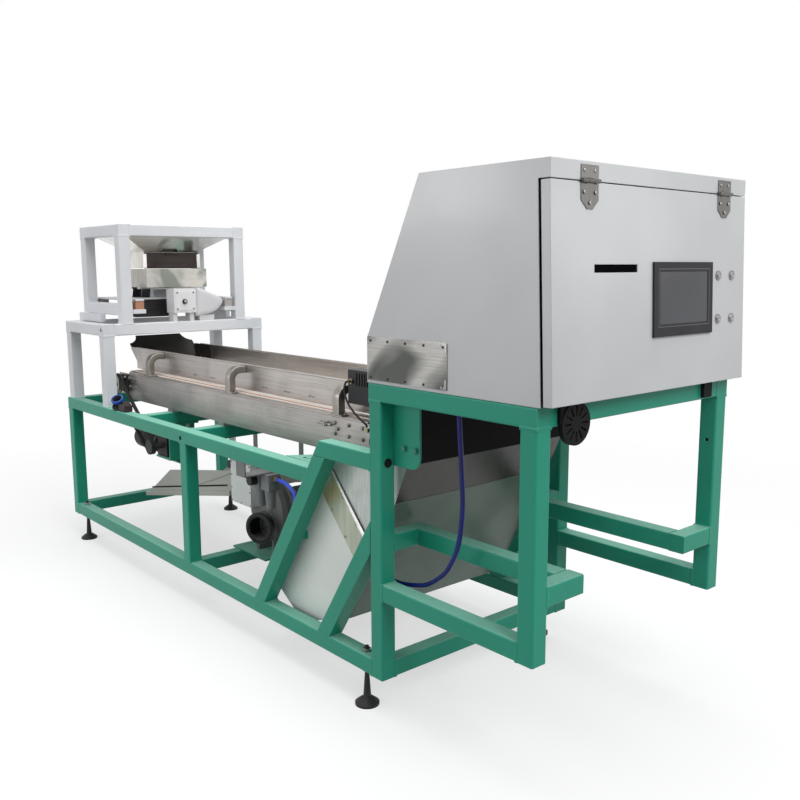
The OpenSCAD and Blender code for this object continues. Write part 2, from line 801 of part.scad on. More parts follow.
module hopper() {
    rim = 22;
    slot_t = sheet + 2 * gate_gap;
    color(steel) {
        difference() {
            union() {
                funnel(0, 0);
                translate([x_hop, 0, loft_h + sheet / 2])
                    cube([hop_len + 2 * rim, hop_w + 2 * rim, sheet], center = true);
            }
            funnel(-sheet, sheet + 1);
            block([x_neck - sheet - 1, -outlet_w / 2 + 20, neck_low - 1],
                [x_neck + 1, outlet_w / 2 - 20, neck_low + gate_travel]);
        }
        both_sides() difference() {
            block([x_neck - eps, -gate_w / 2 - 8, neck_low],
                [x_neck + slot_t + 4, -gate_w / 2 + 12, neck_h - 10]);
            block([x_neck, -gate_w / 2 - gate_gap, neck_low - 1],
                [x_neck + slot_t, -gate_w / 2 + 13, neck_h]);
        }
    }
}

// The gate slides down behind its two guides and sets the depth of the layer
module hopper_gate() {
    x = x_neck + gate_gap;
    color(steel * 0.6) {
        block([x, -gate_w / 2, gate_low], [x + sheet, gate_w / 2, gate_low + gate_h]);
        block([x, -40, gate_low + gate_h - 12], [x + 18, 40, gate_low + gate_h - 9]);
    }
}

// Vibrating tray, with its drop slot at the end towards the belt
module feeder_tray() {
    w = tray_w / 2;
    in = w - sheet;
    color(steel) {
        difference() {
            block([x_tray_out, -w, tray_low], [x_tray, w, tray_top]);
            block([x_tray_out + sheet, -in, tray_low + sheet], [x_tray - sheet, in, tray_top + 1]);
            block([x_tray - sheet - drop_len, -in, tray_low - 1],
                [x_tray - sheet, in, tray_low + sheet + 1]);
        }
        for (x = leaf_xs)
            block([x - 20, -w + 20, tray_low - 10], [x + 20, w - 20, tray_low + eps]);
    }
}

// Base of the feeder: a plate with two arms that reach the front blocks, and the drive magnet
module feeder_base() {
    x0 = x_feed + 15;
    color(white) {
        difference() {
            block([x0, -block_y[1], base_low], [x_stand - 5, block_y[1], base_low + base_t]);
            block([x_neck - 45, -block_y[0], base_low - 1], [x_stand, block_y[0], base_low + base_t + 1]);
        }
        block([x_magnet - 30, -magnet_w / 2, leaf_low - eps],
            [x_magnet + 30, magnet_w / 2, leaf_low + magnet_h]);
    }
}

// Rubber blocks under the base, leaf springs between the base and the tray
module feeder_springs() {
    lean = 12;
    leaf_top = tray_low - 10 - tray_gap;
    color(steel * 0.8) both_sides() {
        for (x = leaf_xs)
            upright(-leaf_y - 25, 50) polygon([[x - lean, leaf_low], [x - lean + leaf_t, leaf_low],
                [x + leaf_t, leaf_top], [x, leaf_top]]);
        for (x = stand_xs)
            block([x - 22, -block_y[1], bar_low + bar_h], [x + 22, -block_y[0], base_low]);
    }
}

// Control box with a face plate and the speed knob
module control_box() {
    w = box_w / 2;
    low = z_box - box_h / 2;
    z_knob = z_box - 4;
    color(white) {
        difference() {
            union() {
                block([x_box - box_d, y_box - w, low], [x_box, y_box + w, low + box_h]);
                for (y = [y_box - w + 16, y_box + w - 16])
                    block([x_box - box_d + 10, y - 12, stand_h], [x_box - 24, y + 12, low + eps]);
            }
            translate([x_box - 30, y_knob, z_knob]) rod_x(spindle_r + run_gap, 31);
        }
        difference() {
            block([x_box, y_box - face_w / 2, z_box - face_h / 2],
                [x_box + sheet, y_box + face_w / 2, z_box + face_h / 2]);
            translate([x_box - 1, y_knob, z_knob]) rod_x(spindle_r + run_gap, sheet + 2);
        }
    }
}

module control_knob() {
    color(dark) translate([x_box, y_knob, z_box - 4]) {
        translate([-20, 0, 0]) rod_x(spindle_r, 20 + sheet + 1);
        translate([sheet + 0.5, 0, 0]) difference() {
            rod_x(knob_r, 15);
            for (a = [0 : 30 : 330])
                rotate([a, 0, 0]) translate([4, 0, knob_r + 0.6]) rod_x(1.6, 12);
        }
    }
}

// Rounded cover of the feeder's cables and springs, beside the control box
module drive_hood() {
    y0 = y_box + box_w / 2 + 4;
    z0 = stand_h + 28;
    r = 68;
    color(pale) {
        across(x_box - 80, 76) {
            translate([y0 + 100, z0 + r]) circle(r);
            polygon([[y0, z0], [y0 + 100, z0], [y0 + 100 + r, z0 + r], [y0 + 100 + r, z0 + 88],
                [y0, z0 + 155]]);
        }
        block([x_box - 70, y0 + 20, stand_h], [x_box - 14, y0 + 110, z0 + eps]);
    }
}

// Infeed: a sloping plate turns the product on to the belt, two cheeks hold it
module infeed_chute() {
    w = guard_w / 2;
    low = [x_tail - 6, belt_top + 14];
    top = [x_tail - 185, guard_top + 54];
    at = low + (top - low) * (guard_top - 6 - low[1]) / (top[1] - low[1]);
    color(steel) {
        difference() {
            upright(-w + sheet, guard_w - 2 * sheet) strip(top, low, sheet);
            for (s = [-1, 1])
                translate([top[0], s * (w + 8), top[1] + 10]) rotate([0, -48, 0]) translate([-20, 0, 0])
                    rod_x(66, 40);
        }
        for (y = [-w, w - sheet])
            upright(y, sheet) polygon([low + [-4, 0], low + [100, -2], [x_tail + 95, guard_top - 30],
                [x_tail + 65, guard_top], [x_tail - 100, guard_top], at - [4, 0]]);
    }
}

// Belt conveyor: side plates with flanges and feet
module plate_outline() {
    a = x_tail - plate_end + 2;
    polygon([[a, plate_top], [a, plate_low + 40], [a + 88, plate_low + 13], [a + 178, plate_low],
        [x_nose + plate_end, plate_low], [x_nose + plate_end, plate_top]]);
}

module side_plates() {
    y_flange = -plate_in + flange;
    color(steel) both_sides() difference() {
        union() {
            upright(-plate_y, plate_t) plate_outline();
            for (z = [plate_low, plate_top - plate_t])
                block([x_tail + bed_end + 130, -plate_y, z], [x_nose - bed_end, y_flange, z + plate_t]);
            for (i = [1 : 3])
                block([cross_x[i] - 25, -plate_y, upper_h], [cross_x[i] + 25, y_flange, plate_low + eps]);
        }
        for (x = [x_tail, x_nose])
            translate([x, -plate_y - 1, z_roll]) rod_y(shaft_r + 5, plate_t + 2);
    }
}

module slider_bed() {
    color(steel) block([x_tail + bed_end, -plate_in, plate_top], [x_nose - bed_end, plate_in, belt_low]);
}

module belt() {
    r = roller_r + belt_gap;
    y = belt_w / 2;
    color([0.86, 0.85, 0.8]) {
        for (end = [[x_tail, 90], [x_nose, -90]])
            translate([end[0], y, z_roll]) rotate([90, 0, 0]) rotate(end[1])
                rotate_extrude(angle = 180, $fn = 72) translate([r, 0]) square([belt_t, belt_w]);
        for (z = [z_roll + r, z_roll - r - belt_t])
            block([x_tail, -y, z], [x_nose, y, z + belt_t]);
    }
}

module roller(x, near, far) {
    translate([x, -belt_w / 2 - 4, z_roll]) rod_y(roller_r, belt_w + 8);
    translate([x, -near, z_roll]) rod_y(shaft_r, near + far);
}

// A flanged pulley with its centre at the origin, turning about Y
module pulley(r) {
    translate([0, -drive_w / 2, 0]) rod_y(r - belt_gap, drive_w);
    for (y = [-drive_w / 2 - 3, drive_w / 2])
        translate([0, y, 0]) rod_y(r + drive_t - 1, 3);
}

// Drive roller with the pulley on the near end of its shaft
module drive_roller() {
    color(steel) {
        roller(x_tail, -y_pulley, plate_y + boss_t + 4);
        translate([x_tail, y_pulley, z_roll]) difference() {
            pulley(roller_pulley_r);
            for (a = [0 : 72 : 288])
                rotate([0, a, 0]) translate([33, -drive_w, 0]) rod_y(9, 2 * drive_w);
        }
    }
}

module nose_roller() {
    color(steel) roller(x_nose, plate_y + boss_t + 4, plate_y + boss_t + 4);
}

// Flange bearings on the outer faces of the side plates
module bearing_at(x) {
    w = housing_w / 2;
    difference() {
        union() {
            block([x - w, -plate_y - housing_t, z_roll - w], [x + w, -plate_y, z_roll + w]);
            translate([x, -plate_y - boss_t, z_roll]) rod_y(32, boss_t);
        }
        translate([x, -plate_y - boss_t - 1, z_roll]) rod_y(shaft_r + run_gap, boss_t + 2);
        for (dx = [-34, 34], dz = [-34, 34])
            translate([x + dx, -plate_y - housing_t - 1, z_roll + dz]) rod_y(5 + screw_gap, housing_t + 2);
    }
}

module roller_bearings() {
    color(dark) both_sides() for (x = [x_tail, x_nose]) bearing_at(x);
}

// Take-up screws: a lug on the side plate and a long screw along the belt
module take_ups() {
    x = x_nose - 330;
    z = plate_top - 30;
    color(steel) both_sides() {
        block([x, -plate_y - 18, z - 9], [x + 10, -plate_y, z + 9]);
        translate([x - 48, -plate_y - 9, z]) rod_x(5, 90);
        for (nut = [x - 10, x + 10])
            translate([nut, -plate_y - 9, z]) rotate([0, 90, 0]) cylinder(r = 9, h = 8, $fn = 6);
    }
}

module guards() {
    color(steel) both_sides() difference() {
        block([x_guard, -guard_y, guard_low], [x_guard_end, -guard_y + guard_t, guard_top]);
        for (x = arch_xs, dx = [150, 330, 510])
            block([x + dx, -guard_y - 1, guard_low + 22], [x + dx + 46, -guard_y + guard_t + 1, guard_low + 28]);
    }
}

// Arched brackets: a leg on the bed, a quarter turn, an arm to the guard
module guard_brackets() {
    y = -plate_in + 8;
    top = guard_top - 4;
    w = arch_w / 2;
    color(steel * 0.9) both_sides() for (x = arch_xs) {
        block([x - w, y, belt_low], [x + w, y + arch_t, top - arch_r]);
        translate([x - w, y + arch_r, top - arch_r]) rotate([90, 0, 90]) rotate(90)
            rotate_extrude(angle = 90) translate([arch_r - arch_t, 0]) square([arch_t, arch_w]);
        block([x - w, y + arch_r, top - arch_t], [x + w, -guard_y, top]);
        block([x - w - arch_foot, y - 4, belt_low], [x + w + arch_foot, y + 28, belt_low + arch_t]);
    }
}

// Drive: a gear motor on a shelf under the upper rails, a belt up to the drive roller
module motor_shelf() {
    s = gear_s / 2;
    x0 = x_gear - 50;
    x1 = x_gear + 110;
    y0 = y_gear - s - 10;
    y1 = y_gear + motor_r + 7;
    z0 = z_gear - s - shelf_t;
    lip_z = z0 - 40;
    block([x_gear - 210, y1, lip_z], [x1, y1 + shelf_t, z_upper_low - shelf_t - 1]);
    block([x_gear - 210, y1 - 45, lip_z], [x1, y1 + eps, lip_z + shelf_t]);
    block([x1 - shelf_t, y0, z0], [x1, y1 + eps, z_upper_low]);
    block([x0, y0, z0], [x1, y1 + eps, z_gear - s]);
    block([x1 - 40, y0, z_upper_low - shelf_t], [cross_x[1] + 30, y1, z_upper_low]);
}

module gear_motor() {
    s = gear_s / 2;
    x = x_gear - s;
    color(pale * 0.7) {
        difference() {
            block([x, y_gear - s, z_gear - s], [x + gear_s, y_gear + s, z_gear + s]);
            translate([x_gear, y_gear - s - 1, z_gear]) rod_y(shaft_r + run_gap, gear_s - 19);
        }
        translate([x - 200, y_gear, z_gear]) rod_x(motor_r - 4, 200 + eps);
        for (i = [0 : 6])
            translate([x - 60 - 18 * i, y_gear, z_gear]) rod_x(motor_r, 6);
        translate([x - 14, y_gear, z_gear]) rod_x(motor_r + 6, 14 + eps);
        translate([x - 268, y_gear, z_gear]) difference() {
            rod_x(motor_r, 68 + eps);
            for (i = [-2 : 2])
                translate([-1, -40, i * 18 - 4]) cube([6, 80, 8]);
        }
    }
}

module motor_pulley() {
    color(steel * 0.8) translate([x_gear, y_pulley, z_gear]) {
        pulley(motor_pulley_r);
        rod_y(shaft_r, y_gear - y_pulley + gear_s / 2 - 30);
    }
}

module drive_belt() {
    color(dark) upright(y_pulley - drive_w / 2 + 0.5, drive_w - 1) difference() {
        belt_outline(drive_t);
        belt_outline(0);
    }
}

module belt_outline(t) {
    hull() {
        translate([x_tail, z_roll]) circle(roller_pulley_r + t, $fn = 72);
        translate([x_gear, z_gear]) circle(motor_pulley_r + t, $fn = 72);
    }
}

// Cabinet: one folded shell with an open front, and its floor
module cabinet_shell() {
    t = cab_t;
    knee = cab_low + cab_rear_h;
    slope = atan2(cab_top - knee, x_cab_top - x_cab_rear);
    color(pale) difference() {
        upright(-cab_y, 2 * cab_y) polygon([[x_cab_rear, cab_low], [x_cab_rear, knee], [x_cab_top, cab_top],
            [x_door_top, cab_top], [x_door_top, z_seam], [x_cab_front, z_seam],
            [x_cab_front + door_lean, cab_low]]);
        upright(-cab_y + t, 2 * cab_y - 2 * t) polygon([[x_cab_rear + t, cab_low - 1],
            [x_cab_rear + t, knee - t * tan((90 - slope) / 2)],
            [x_cab_top + t * tan(slope / 2), cab_top - t],
            [x_door_top - t, cab_top - t], [x_door_top - t, z_seam - 1], [x_door_low, z_seam - 1],
            [x_door_low, cab_low - 1]]);
    }
}

module cabinet_floor() {
    w = cab_y - cab_t;
    gap = guard_w / 2 + 60;
    color(pale * 0.8) difference() {
        block([x_cab_rear + cab_t, -w, cab_low], [x_cab_front - 4, w, cab_low + floor_t]);
        block([x_main + 10, -gap, cab_low - 1], [x_lamp + lamp_d, gap, cab_low + floor_t + 1]);
        translate([hose_end[0], hose_end[1], cab_low - 1]) cylinder(r = 11 + screw_gap, h = floor_t + 2);
    }
}

// Stainless covers on the cabinet's sides
module side_covers() {
    knee = cab_low + cab_rear_h;
    color(steel) both_sides() difference() {
        block([cover_x[0], -cab_y - cover_t, cover_z[0]], [cover_x[1], -cab_y, cover_z[1]]);
        upright(-cab_y - cover_t - 1, cover_t + 2) polygon([[x_cab_rear - 1, knee - 3],
            [x_cab_rear + 30, knee + 59], [x_cab_rear - 1, knee + 59]]);
    }
}

// Round-headed screws of the covers, the control box and the fixed hinge leaves
module screws() {
    color(dark) {
        both_sides() for (i = [0 : 4], z = [cover_z[0] + 9, cover_z[1] - 13])
            translate([cover_x[0] + 16 + i * 84, -cab_y - cover_t, z]) rotate([90, 0, 0])
                cylinder(r = 4, h = 2);
        for (y = [-1, 1], z = [-1, 1])
            translate([x_box + sheet, y_box + y * (face_w / 2 - 9), z_box + z * (face_h / 2 - 9)])
                rod_x(4, 2.5);
        for (y = hinge_ys, s = [-22, 22])
            translate([x_door_top + leaf_hinge_t, y + s, z_seam + 26]) rod_x(5, 2);
    }
}

// Door: drawn in its own leaning frame, with X out of its face and -Z down the face
module on_door() {
    translate([x_door_top, 0, z_seam]) rotate([0, -door_tilt, 0]) children();
}

// A block centred on a place of the door's face, between two depths
module door_block(at, w, h, x0, x1) {
    block([x0, at[0] - w / 2, -at[1] - h / 2], [x1, at[0] + w / 2, -at[1] + h / 2]);
}

module button_places() {
    for (y = button_ys, z = button_zs) translate([0, y, -z]) children();
}

module front_door() {
    w = cab_y;
    low = -door_gap - door_len;
    color(pale) on_door() difference() {
        block([-door_d, -w, low], [0, w, -door_gap]);
        block([-door_d - 1, -w + door_t, low + door_t], [-door_t, w - door_t, -door_gap - door_t]);
        door_block(screen_at, screen_w - 24, screen_h - 24, -door_t - 1, 1);
        door_block(slot_at, slot_w, slot_h, -door_t - 1, 1);
        button_places() translate([-door_t - 1, 0, 0]) rod_x(cap_r + 3, door_t + 2);
    }
}

// Touch panel: a bezel through the door
module screen_bezel() {
    color(dark) on_door() difference() {
        union() {
            door_block(screen_at, screen_w, screen_h, 0, bezel_t);
            door_block(screen_at, screen_w - 26, screen_h - 26, -door_d + 4, eps);
        }
        door_block(glass_at, glass_w, glass_h, bezel_t - 3, bezel_t + 1);
    }
}

// The touch panel's glass, and the glass strip behind the slot of the door
module door_glass() {
    color([0.16, 0.18, 0.22]) on_door() {
        door_block(glass_at, glass_w, glass_h, bezel_t - 3, bezel_t - 1);
        door_block(slot_at, slot_w + 16, slot_h + 16, -door_t - 3, -door_t);
    }
}

module button_rings() {
    color(steel) on_door() button_places() difference() {
        union() {
            rod_x(ring_r, 4);
            translate([-door_t - 14, 0, 0]) rod_x(cap_r + 2.9, door_t + 14 + eps);
            translate([-door_t - 8, 0, 0]) rod_x(ring_r, 8);
        }
        translate([-door_t - 15, 0, 0]) rod_x(cap_r + 2 * run_gap, door_t + 20);
    }
}

module push_button(i) {
    color(steel) on_door() translate([-door_t - 10, button_ys[i % 2], -button_zs[floor(i / 2)]])
        rod_x(cap_r, door_t + 14 + press);
}

module push_button_1() { push_button(0); }
module push_button_2() { push_button(1); }
module push_button_3() { push_button(2); }
module push_button_4() { push_button(3); }

// Hinges: fixed leaves with their pins on the strip, moving leaves on the door
module knuckle(y0, y1) {
    translate([hinge_x, y0, z_seam]) difference() {
        rod_y(knuckle_r, y1 - y0);
        translate([0, -1, 0]) rod_y(3 + run_gap, y1 - y0 + 2);
    }
}

module hinge_fixed() {
    w = hinge_w / 2;
    x1 = x_door_top + leaf_hinge_t;
    color(steel) for (y = hinge_ys) {
        block([x_door_top, y - w, z_seam + knuckle_r + 1], [x1, y + w, z_seam + 41]);
        for (y0 = [y - w, y + w - knuckle_w]) {
            knuckle(y0, y0 + knuckle_w);
            block([x_door_top, y0, z_seam + 3.2], [x1, y0 + knuckle_w, z_seam + knuckle_r + 2]);
        }
        translate([hinge_x, y - w - 4, z_seam]) {
            rod_y(3, hinge_w + 6);
            rod_y(4.5, 3.5);
        }
    }
}

module hinge_moving() {
    w = hinge_w / 2;
    k = w - knuckle_w - 1;
    top = -knuckle_r - 2;
    pin = (hinge_x - x_door_top) * [cos(door_tilt), -sin(door_tilt)];
    color(steel) on_door() for (y = hinge_ys) {
        translate([0, y, 0]) {
            across(0, leaf_hinge_t)
                polygon([[-w, top], [-w, -50], [-12, -73], [12, -73], [w, -50], [w, top]]);
            for (p = [[-24, -30], [24, -30], [0, -57]])
                translate([leaf_hinge_t - 1, p[0], p[1]]) rod_x(5, 3);
        }
        upright(y - k, 2 * k) difference() {
            union() {
                translate([0, top - 1]) square([leaf_hinge_t, -3.2 - top + 1]);
                translate(pin) circle(knuckle_r);
            }
            translate(pin) circle(3 + run_gap);
        }
    }
}

// Slanted discharge chute, and the dust tray under the belt
module chute_body() {
    w = chute_y;
    color(pale) {
        for (y = [-w, w - sheet])
            upright(y, sheet) polygon([ch_l, ch_m, ch_n, ch_x, ch_a]);
        upright(-w + eps, 2 * w - 2 * eps) {
            strip(ch_a, ch_l, sheet);
            strip(ch_m, ch_n, sheet);
        }
        upright(-w + sheet, 2 * w - 2 * sheet) strip(ch_n, ch_q - [0, 2], sheet);
        dust_tray();
    }
}

// A trough that falls towards the feed end, hung from two cross rails
module dust_tray() {
    w = 200;
    a = [x_feed + 348, 256];
    b = [cross_x[2] - 82, 440];
    top_b = [cross_x[2] - 88, 558];
    top_a = [x_feed + 651, 450];
    strap_x = cross_x[2] - tube / 2;
    upright(-w, 2 * w) strip(a, b, sheet);
    for (y = [-w, w - sheet]) {
        upright(y, sheet) polygon([a, b, top_b, top_a]);
        block([strap_x - 60, y, 480], [strap_x - 22, y + sheet, z_upper]);
        block([strap_x - 22 - eps, y, z_upper_low - 40], [strap_x, y + sheet, z_upper]);
        block([cross_x[1] - 20, y, 450], [cross_x[1] + 20, y + sheet, z_upper_low - (y > 0 ? 0 : shelf_t)]);
    }
}

// Stainless upper sides of the chute and the hood up to the lamp box
module chute_sides() {
    d = unit(ch_x - ch_a);
    a = ch_b + d * 12;
    h = [x_lamp - 1, lamp_low - 1];
    color(steel) {
        both_sides() {
            upright(-chute_y, sheet) polygon([ch_a, ch_b, [ch_b[0] + 40, ch_head], [h[0] - 12, ch_head],
                h, ch_q, ch_x + [0.5, 0]]);
            upright(-chute_y - 6, 6 + eps) strip(a, a + d * 330, 8);
        }
        upright(-chute_y + eps, 2 * chute_y - 2 * eps) strip(ch_q, h, sheet);
    }
}

module chute_blocks() {
    z = 485;
    block([strut1_x(z + 30) + 19, -y_in, z], [strut1_x(z) + strut_run - 3, -chute_y, z + 30]);
    for (x = [x_post - 245, x_post - 60])
        block([x, -y_in, head_rail_h - 55], [x + 40, -chute_y, head_rail_h - 35]);
}

// Black lamp box between the gussets, with its window towards the belt
module lamp_box() {
    color(dark) difference() {
        block([x_lamp, -y_in, lamp_low], [x_lamp + lamp_d, y_in, lamp_low + lamp_h]);
        block([x_lamp - 1, -guard_y, lamp_low + 40], [x_lamp + 40, guard_y, lamp_low + lamp_h - 40]);
        both_sides() gusset_bolt_places() translate([0, 0, -gusset_t - 24])
            cylinder(r = 5 + screw_gap, h = 25);
    }
}

// Ejector: a slotted bar with its air valves, under the nose of the belt
module ejector_bar() {
    z = plate_low - 60;
    x = x_nose + roller_r - 30;
    w = chute_y - sheet;
    color(steel * 0.8) difference() {
        block([x, -w, z], [x + 45, w, z + 40]);
        block([x + 35, -guard_y, z + 18], [x + 46, guard_y, z + 22]);
    }
    color(dark) for (i = [-5 : 5])
        block([x + 2, i * 40 - 14, z - 44], [x + 43, i * 40 + 14, z]);
}

// Inside the cabinet: camera case over the gap in the floor, two control racks
module cabinet_gear() {
    z = cab_low + floor_t;
    x = x_lamp + lamp_d + 20;
    color(dark) {
        block([x, -200, z], [x + 100, 200, z + 300]);
        block([x - 135, -60, z + 180], [x + eps, 60, z + 290]);
        translate([x - 85, 0, z + 120]) difference() {
            cylinder(r = 32, h = 60 + eps);
            translate([0, 0, -1]) cylinder(r = 24, h = 41);
        }
        for (y = [-390, 250])
            block([x_cab_front - 260, y, z], [x_cab_front - 60, y + 140, z + 320]);
    }
}

// Blower with its port and terminal box, on a plate over the middle cross rail
module blower_plate() {
    block([blow_x - 206, blow_y - 90, z_base_top], [blow_x + 80, blow_y + 150, z_base_top + 8]);
}

module blower() {
    foot = z_base_top + 8;
    box_x = blow_x - 205;
    port_turn = 23;
    color([0.45, 0.46, 0.47]) {
        translate([blow_x, blow_y - 50, blow_z]) rotate([-90, 0, 0]) rotate_extrude($fn = 64)
            polygon([[0, 0], [70, 0], [78, 12], [112, 12], [138, 22], [blow_r, 44], [blow_r, 66], [138, 88],
                [112, 98], [86, 98], [80, 110], [0, 110]]);
        translate([blow_x, blow_y + 59, blow_z]) rod_y(78, 170);
        for (i = [0 : 5])
            translate([blow_x, blow_y + 80 + i * 22, blow_z]) rod_y(84, 8);
        for (dx = [-90, 50])
            block([blow_x + dx, blow_y - 30, foot], [blow_x + dx + 24, blow_y + 40, blow_z - 90]);
        translate([blow_x + 67, blow_y - 110, blow_z - 57]) rotate(port_turn) difference() {
            rod_y(68, 110);
            translate([0, -1, 0]) rod_y(52, 97);
        }
        block([box_x, blow_y - 90, blow_z + 15], [box_x + 175, blow_y - 52, blow_z + 213]);
        block([blow_x - 80, blow_y - 60, blow_z + 40], [blow_x - 30, blow_y - 30, blow_z + 110]);
    }
}

// Air regulator: two bodies with bowls under a bracket on the near upper rail
module air_regulator() {
    color([0.62, 0.63, 0.64]) {
        block([reg_x - 30, -y_in, reg_top + 1], [reg_x + 40, -y_in + 5, upper_h - 5]);
        block([reg_x - 30, -y_in, reg_top], [reg_x + 40, reg_y + 20, reg_top + 6]);
        difference() {
            union() {
                for (x = [reg_x - 38, reg_x + 38]) {
                    block([x - 32, reg_y - 30, reg_top - 70], [x + 32, reg_y + 30, reg_top + eps]);
                    translate([x, reg_y, reg_low])
                        cylinder(r1 = 20, r2 = 27, h = reg_top - 70 - reg_low + eps);
                }
                block([reg_x - 10, reg_y - 18, reg_top - 60], [reg_x + 10, reg_y + 18, reg_top - 20]);
            }
            translate([reg_x - 38, reg_y - 31, reg_top - 35]) rod_y(spindle_r + run_gap, 25);
            translate([reg_x - 71, reg_y, fit_z]) rod_x(inlet_r, 21);
        }
    }
}

module regulator_knob() {
    color(dark) translate([reg_x - 38, reg_y - 30, reg_top - 35]) {
        translate([0, -1, 0]) rod_y(spindle_r, 20);
        difference() {
            translate([0, -31, 0]) rod_y(22, 30.5);
            for (a = [0 : 30 : 330])
                rotate([0, a, 0]) translate([23.4, -32, 0]) rod_y(2.6, 26);
        }
    }
}

// Ends of the cords: two hose fittings, the sensor's plug, the gland on the side plate
module cord_fittings() {
    x = reg_x + 70;
    color([0.75, 0.62, 0.3]) {
        translate([x, reg_y, fit_z]) rod_x(11, x_fit - x);
        translate([x, reg_y, fit_z]) rotate([0, 90, 0]) cylinder(r = 14, h = 10, $fn = 6);
        translate([hose_end[0], hose_end[1], 0]) {
            translate([0, 0, hose_end[2]]) cylinder(r = 11, h = cab_low + floor_t + 14 - hose_end[2]);
            translate([0, 0, cab_low - 14]) cylinder(r = 17, h = 14, $fn = 6);
            translate([0, 0, cab_low + floor_t]) cylinder(r = 17, h = 8, $fn = 6);
        }
        translate(plug_at + [0, 20, 0]) rotate([90, 0, 0]) {
            cylinder(r = 10, h = 8);
            translate([0, 0, 8 - eps]) cylinder(r = 7, h = 12 + eps);
        }
        block([gland[0] - 10, gland[1], gland[2] - 14], [gland[0] + 10, -plate_y, gland[2]]);
    }
}

module air_hose() {
    color([0.1, 0.2, 0.75]) cord(hose_pts, hose_r, 10);
}

module sensor_cable() {
    color(dark) cord(cable_pts, cable_r, 8);
}

// Sensor on the near guard
module belt_sensor() {
    y = -guard_y - sensor_d;
    color(dark) difference() {
        block([sensor_x, y, sensor_low], [sensor_x + sensor_len, -guard_y, sensor_low + sensor_h]);
        for (i = [0 : 4])
            block([sensor_x + 50 + i * 16, y - 1, sensor_low + 70],
                [sensor_x + 58 + i * 16, y + 5, sensor_low + 118]);
    }
}

// Power inlet with its collar on the near upper rail
module power_inlet() {
    x = x_stand + 106;
    color([0.1, 0.2, 0.6]) {
        block([x - 10, -y_out + 4, upper_h], [x + 84, -y_in - 6, upper_h + 36]);
        translate([x, -y_tube + 4, upper_h + 36]) rotate([40, 0, -25]) {
            translate([0, 0, -4]) cylinder(r = 24, h = 36);
            translate([0, 0, 20]) cylinder(r = 29, h = 10);
        }
    }
}

// Piece to draw: its name, or all

base_rails();
frame_posts();
upper_rails();
slant_struts();
cabinet_rails();
bay_frame();
support_brackets();
levelling_feet();
bolts();
front_fittings();
feeder_stand();
hopper_stand();
hopper();
hopper_gate();
feeder_tray();
feeder_base();
feeder_springs();
control_box();
control_knob();
drive_hood();
infeed_chute();
side_plates();
slider_bed();
belt();
drive_roller();
nose_roller();
roller_bearings();
take_ups();
guards();
guard_brackets();
gear_motor();
motor_pulley();
drive_belt();
cabinet_shell();
cabinet_floor();
side_covers();
screws();
front_door();
screen_bezel();
door_glass();
button_rings();
push_button_1();
push_button_2();
push_button_3();
push_button_4();
hinge_fixed();
hinge_moving();
chute_body();
chute_sides();
lamp_box();
ejector_bar();
cabinet_gear();
blower();
air_regulator();
regulator_knob();
cord_fittings();
air_hose();
belt_sensor();
sensor_cable();
power_inlet();
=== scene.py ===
"""Optical colour sorter, belt type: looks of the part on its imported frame, in metres."""
import math

import bmesh
import bpy
import numpy as np
from mathutils import Matrix, Vector


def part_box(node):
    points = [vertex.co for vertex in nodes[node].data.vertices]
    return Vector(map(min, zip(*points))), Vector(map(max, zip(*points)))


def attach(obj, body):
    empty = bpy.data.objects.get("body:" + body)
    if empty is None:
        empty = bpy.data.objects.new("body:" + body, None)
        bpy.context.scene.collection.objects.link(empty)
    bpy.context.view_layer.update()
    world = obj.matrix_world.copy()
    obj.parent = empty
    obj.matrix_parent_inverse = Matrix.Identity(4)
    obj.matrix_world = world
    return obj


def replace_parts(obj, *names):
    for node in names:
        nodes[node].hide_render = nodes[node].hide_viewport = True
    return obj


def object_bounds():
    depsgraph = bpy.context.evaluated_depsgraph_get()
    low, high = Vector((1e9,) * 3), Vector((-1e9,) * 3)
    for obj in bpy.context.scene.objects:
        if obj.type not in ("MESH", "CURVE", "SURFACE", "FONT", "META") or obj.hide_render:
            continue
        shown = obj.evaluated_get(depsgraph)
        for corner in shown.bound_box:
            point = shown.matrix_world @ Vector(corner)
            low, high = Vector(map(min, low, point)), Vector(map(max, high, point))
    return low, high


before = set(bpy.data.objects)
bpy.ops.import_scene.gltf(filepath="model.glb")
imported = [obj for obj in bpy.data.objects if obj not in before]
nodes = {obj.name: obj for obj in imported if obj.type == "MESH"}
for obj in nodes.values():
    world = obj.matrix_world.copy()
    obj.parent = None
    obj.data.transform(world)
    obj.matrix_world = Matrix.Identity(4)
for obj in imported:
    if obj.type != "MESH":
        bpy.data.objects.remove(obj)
cad_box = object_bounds()


# ---------------------------------------------------------------- studio
# A plain pale floor under soft light from above and from the operator's side. The camera
# stands at eye height in front of the near corner of the cabinet.
scene = bpy.context.scene
scene.view_settings.view_transform = "Standard"


def put(tree, kind, inputs=None, **settings):
    """A new shader node in the tree. Settings are its own properties; inputs are sockets by name or
    number, each a constant or another node's output to link."""
    node = tree.nodes.new("ShaderNode" + kind)
    for key, value in settings.items():
        setattr(node, key, value)
    for key, value in (inputs or {}).items():
        if isinstance(value, bpy.types.NodeSocket):
            tree.links.new(value, node.inputs[key])
        else:
            node.inputs[key].default_value = value
    return node


def maths(tree, operation, a, b=0.0, clamp=False):
    """The output of a Math node."""
    return put(tree, "Math", {0: a, 1: b}, operation=operation, use_clamp=clamp).outputs[0]


def vector(tree, operation, a, b=(0, 0, 0)):
    """The output of a Vector Math node; to scale, b is the factor."""
    node = put(tree, "VectorMath", {0: a, 3 if operation == "SCALE" else 1: b}, operation=operation)
    return node.outputs["Value" if operation in ("LENGTH", "DOT_PRODUCT") else "Vector"]


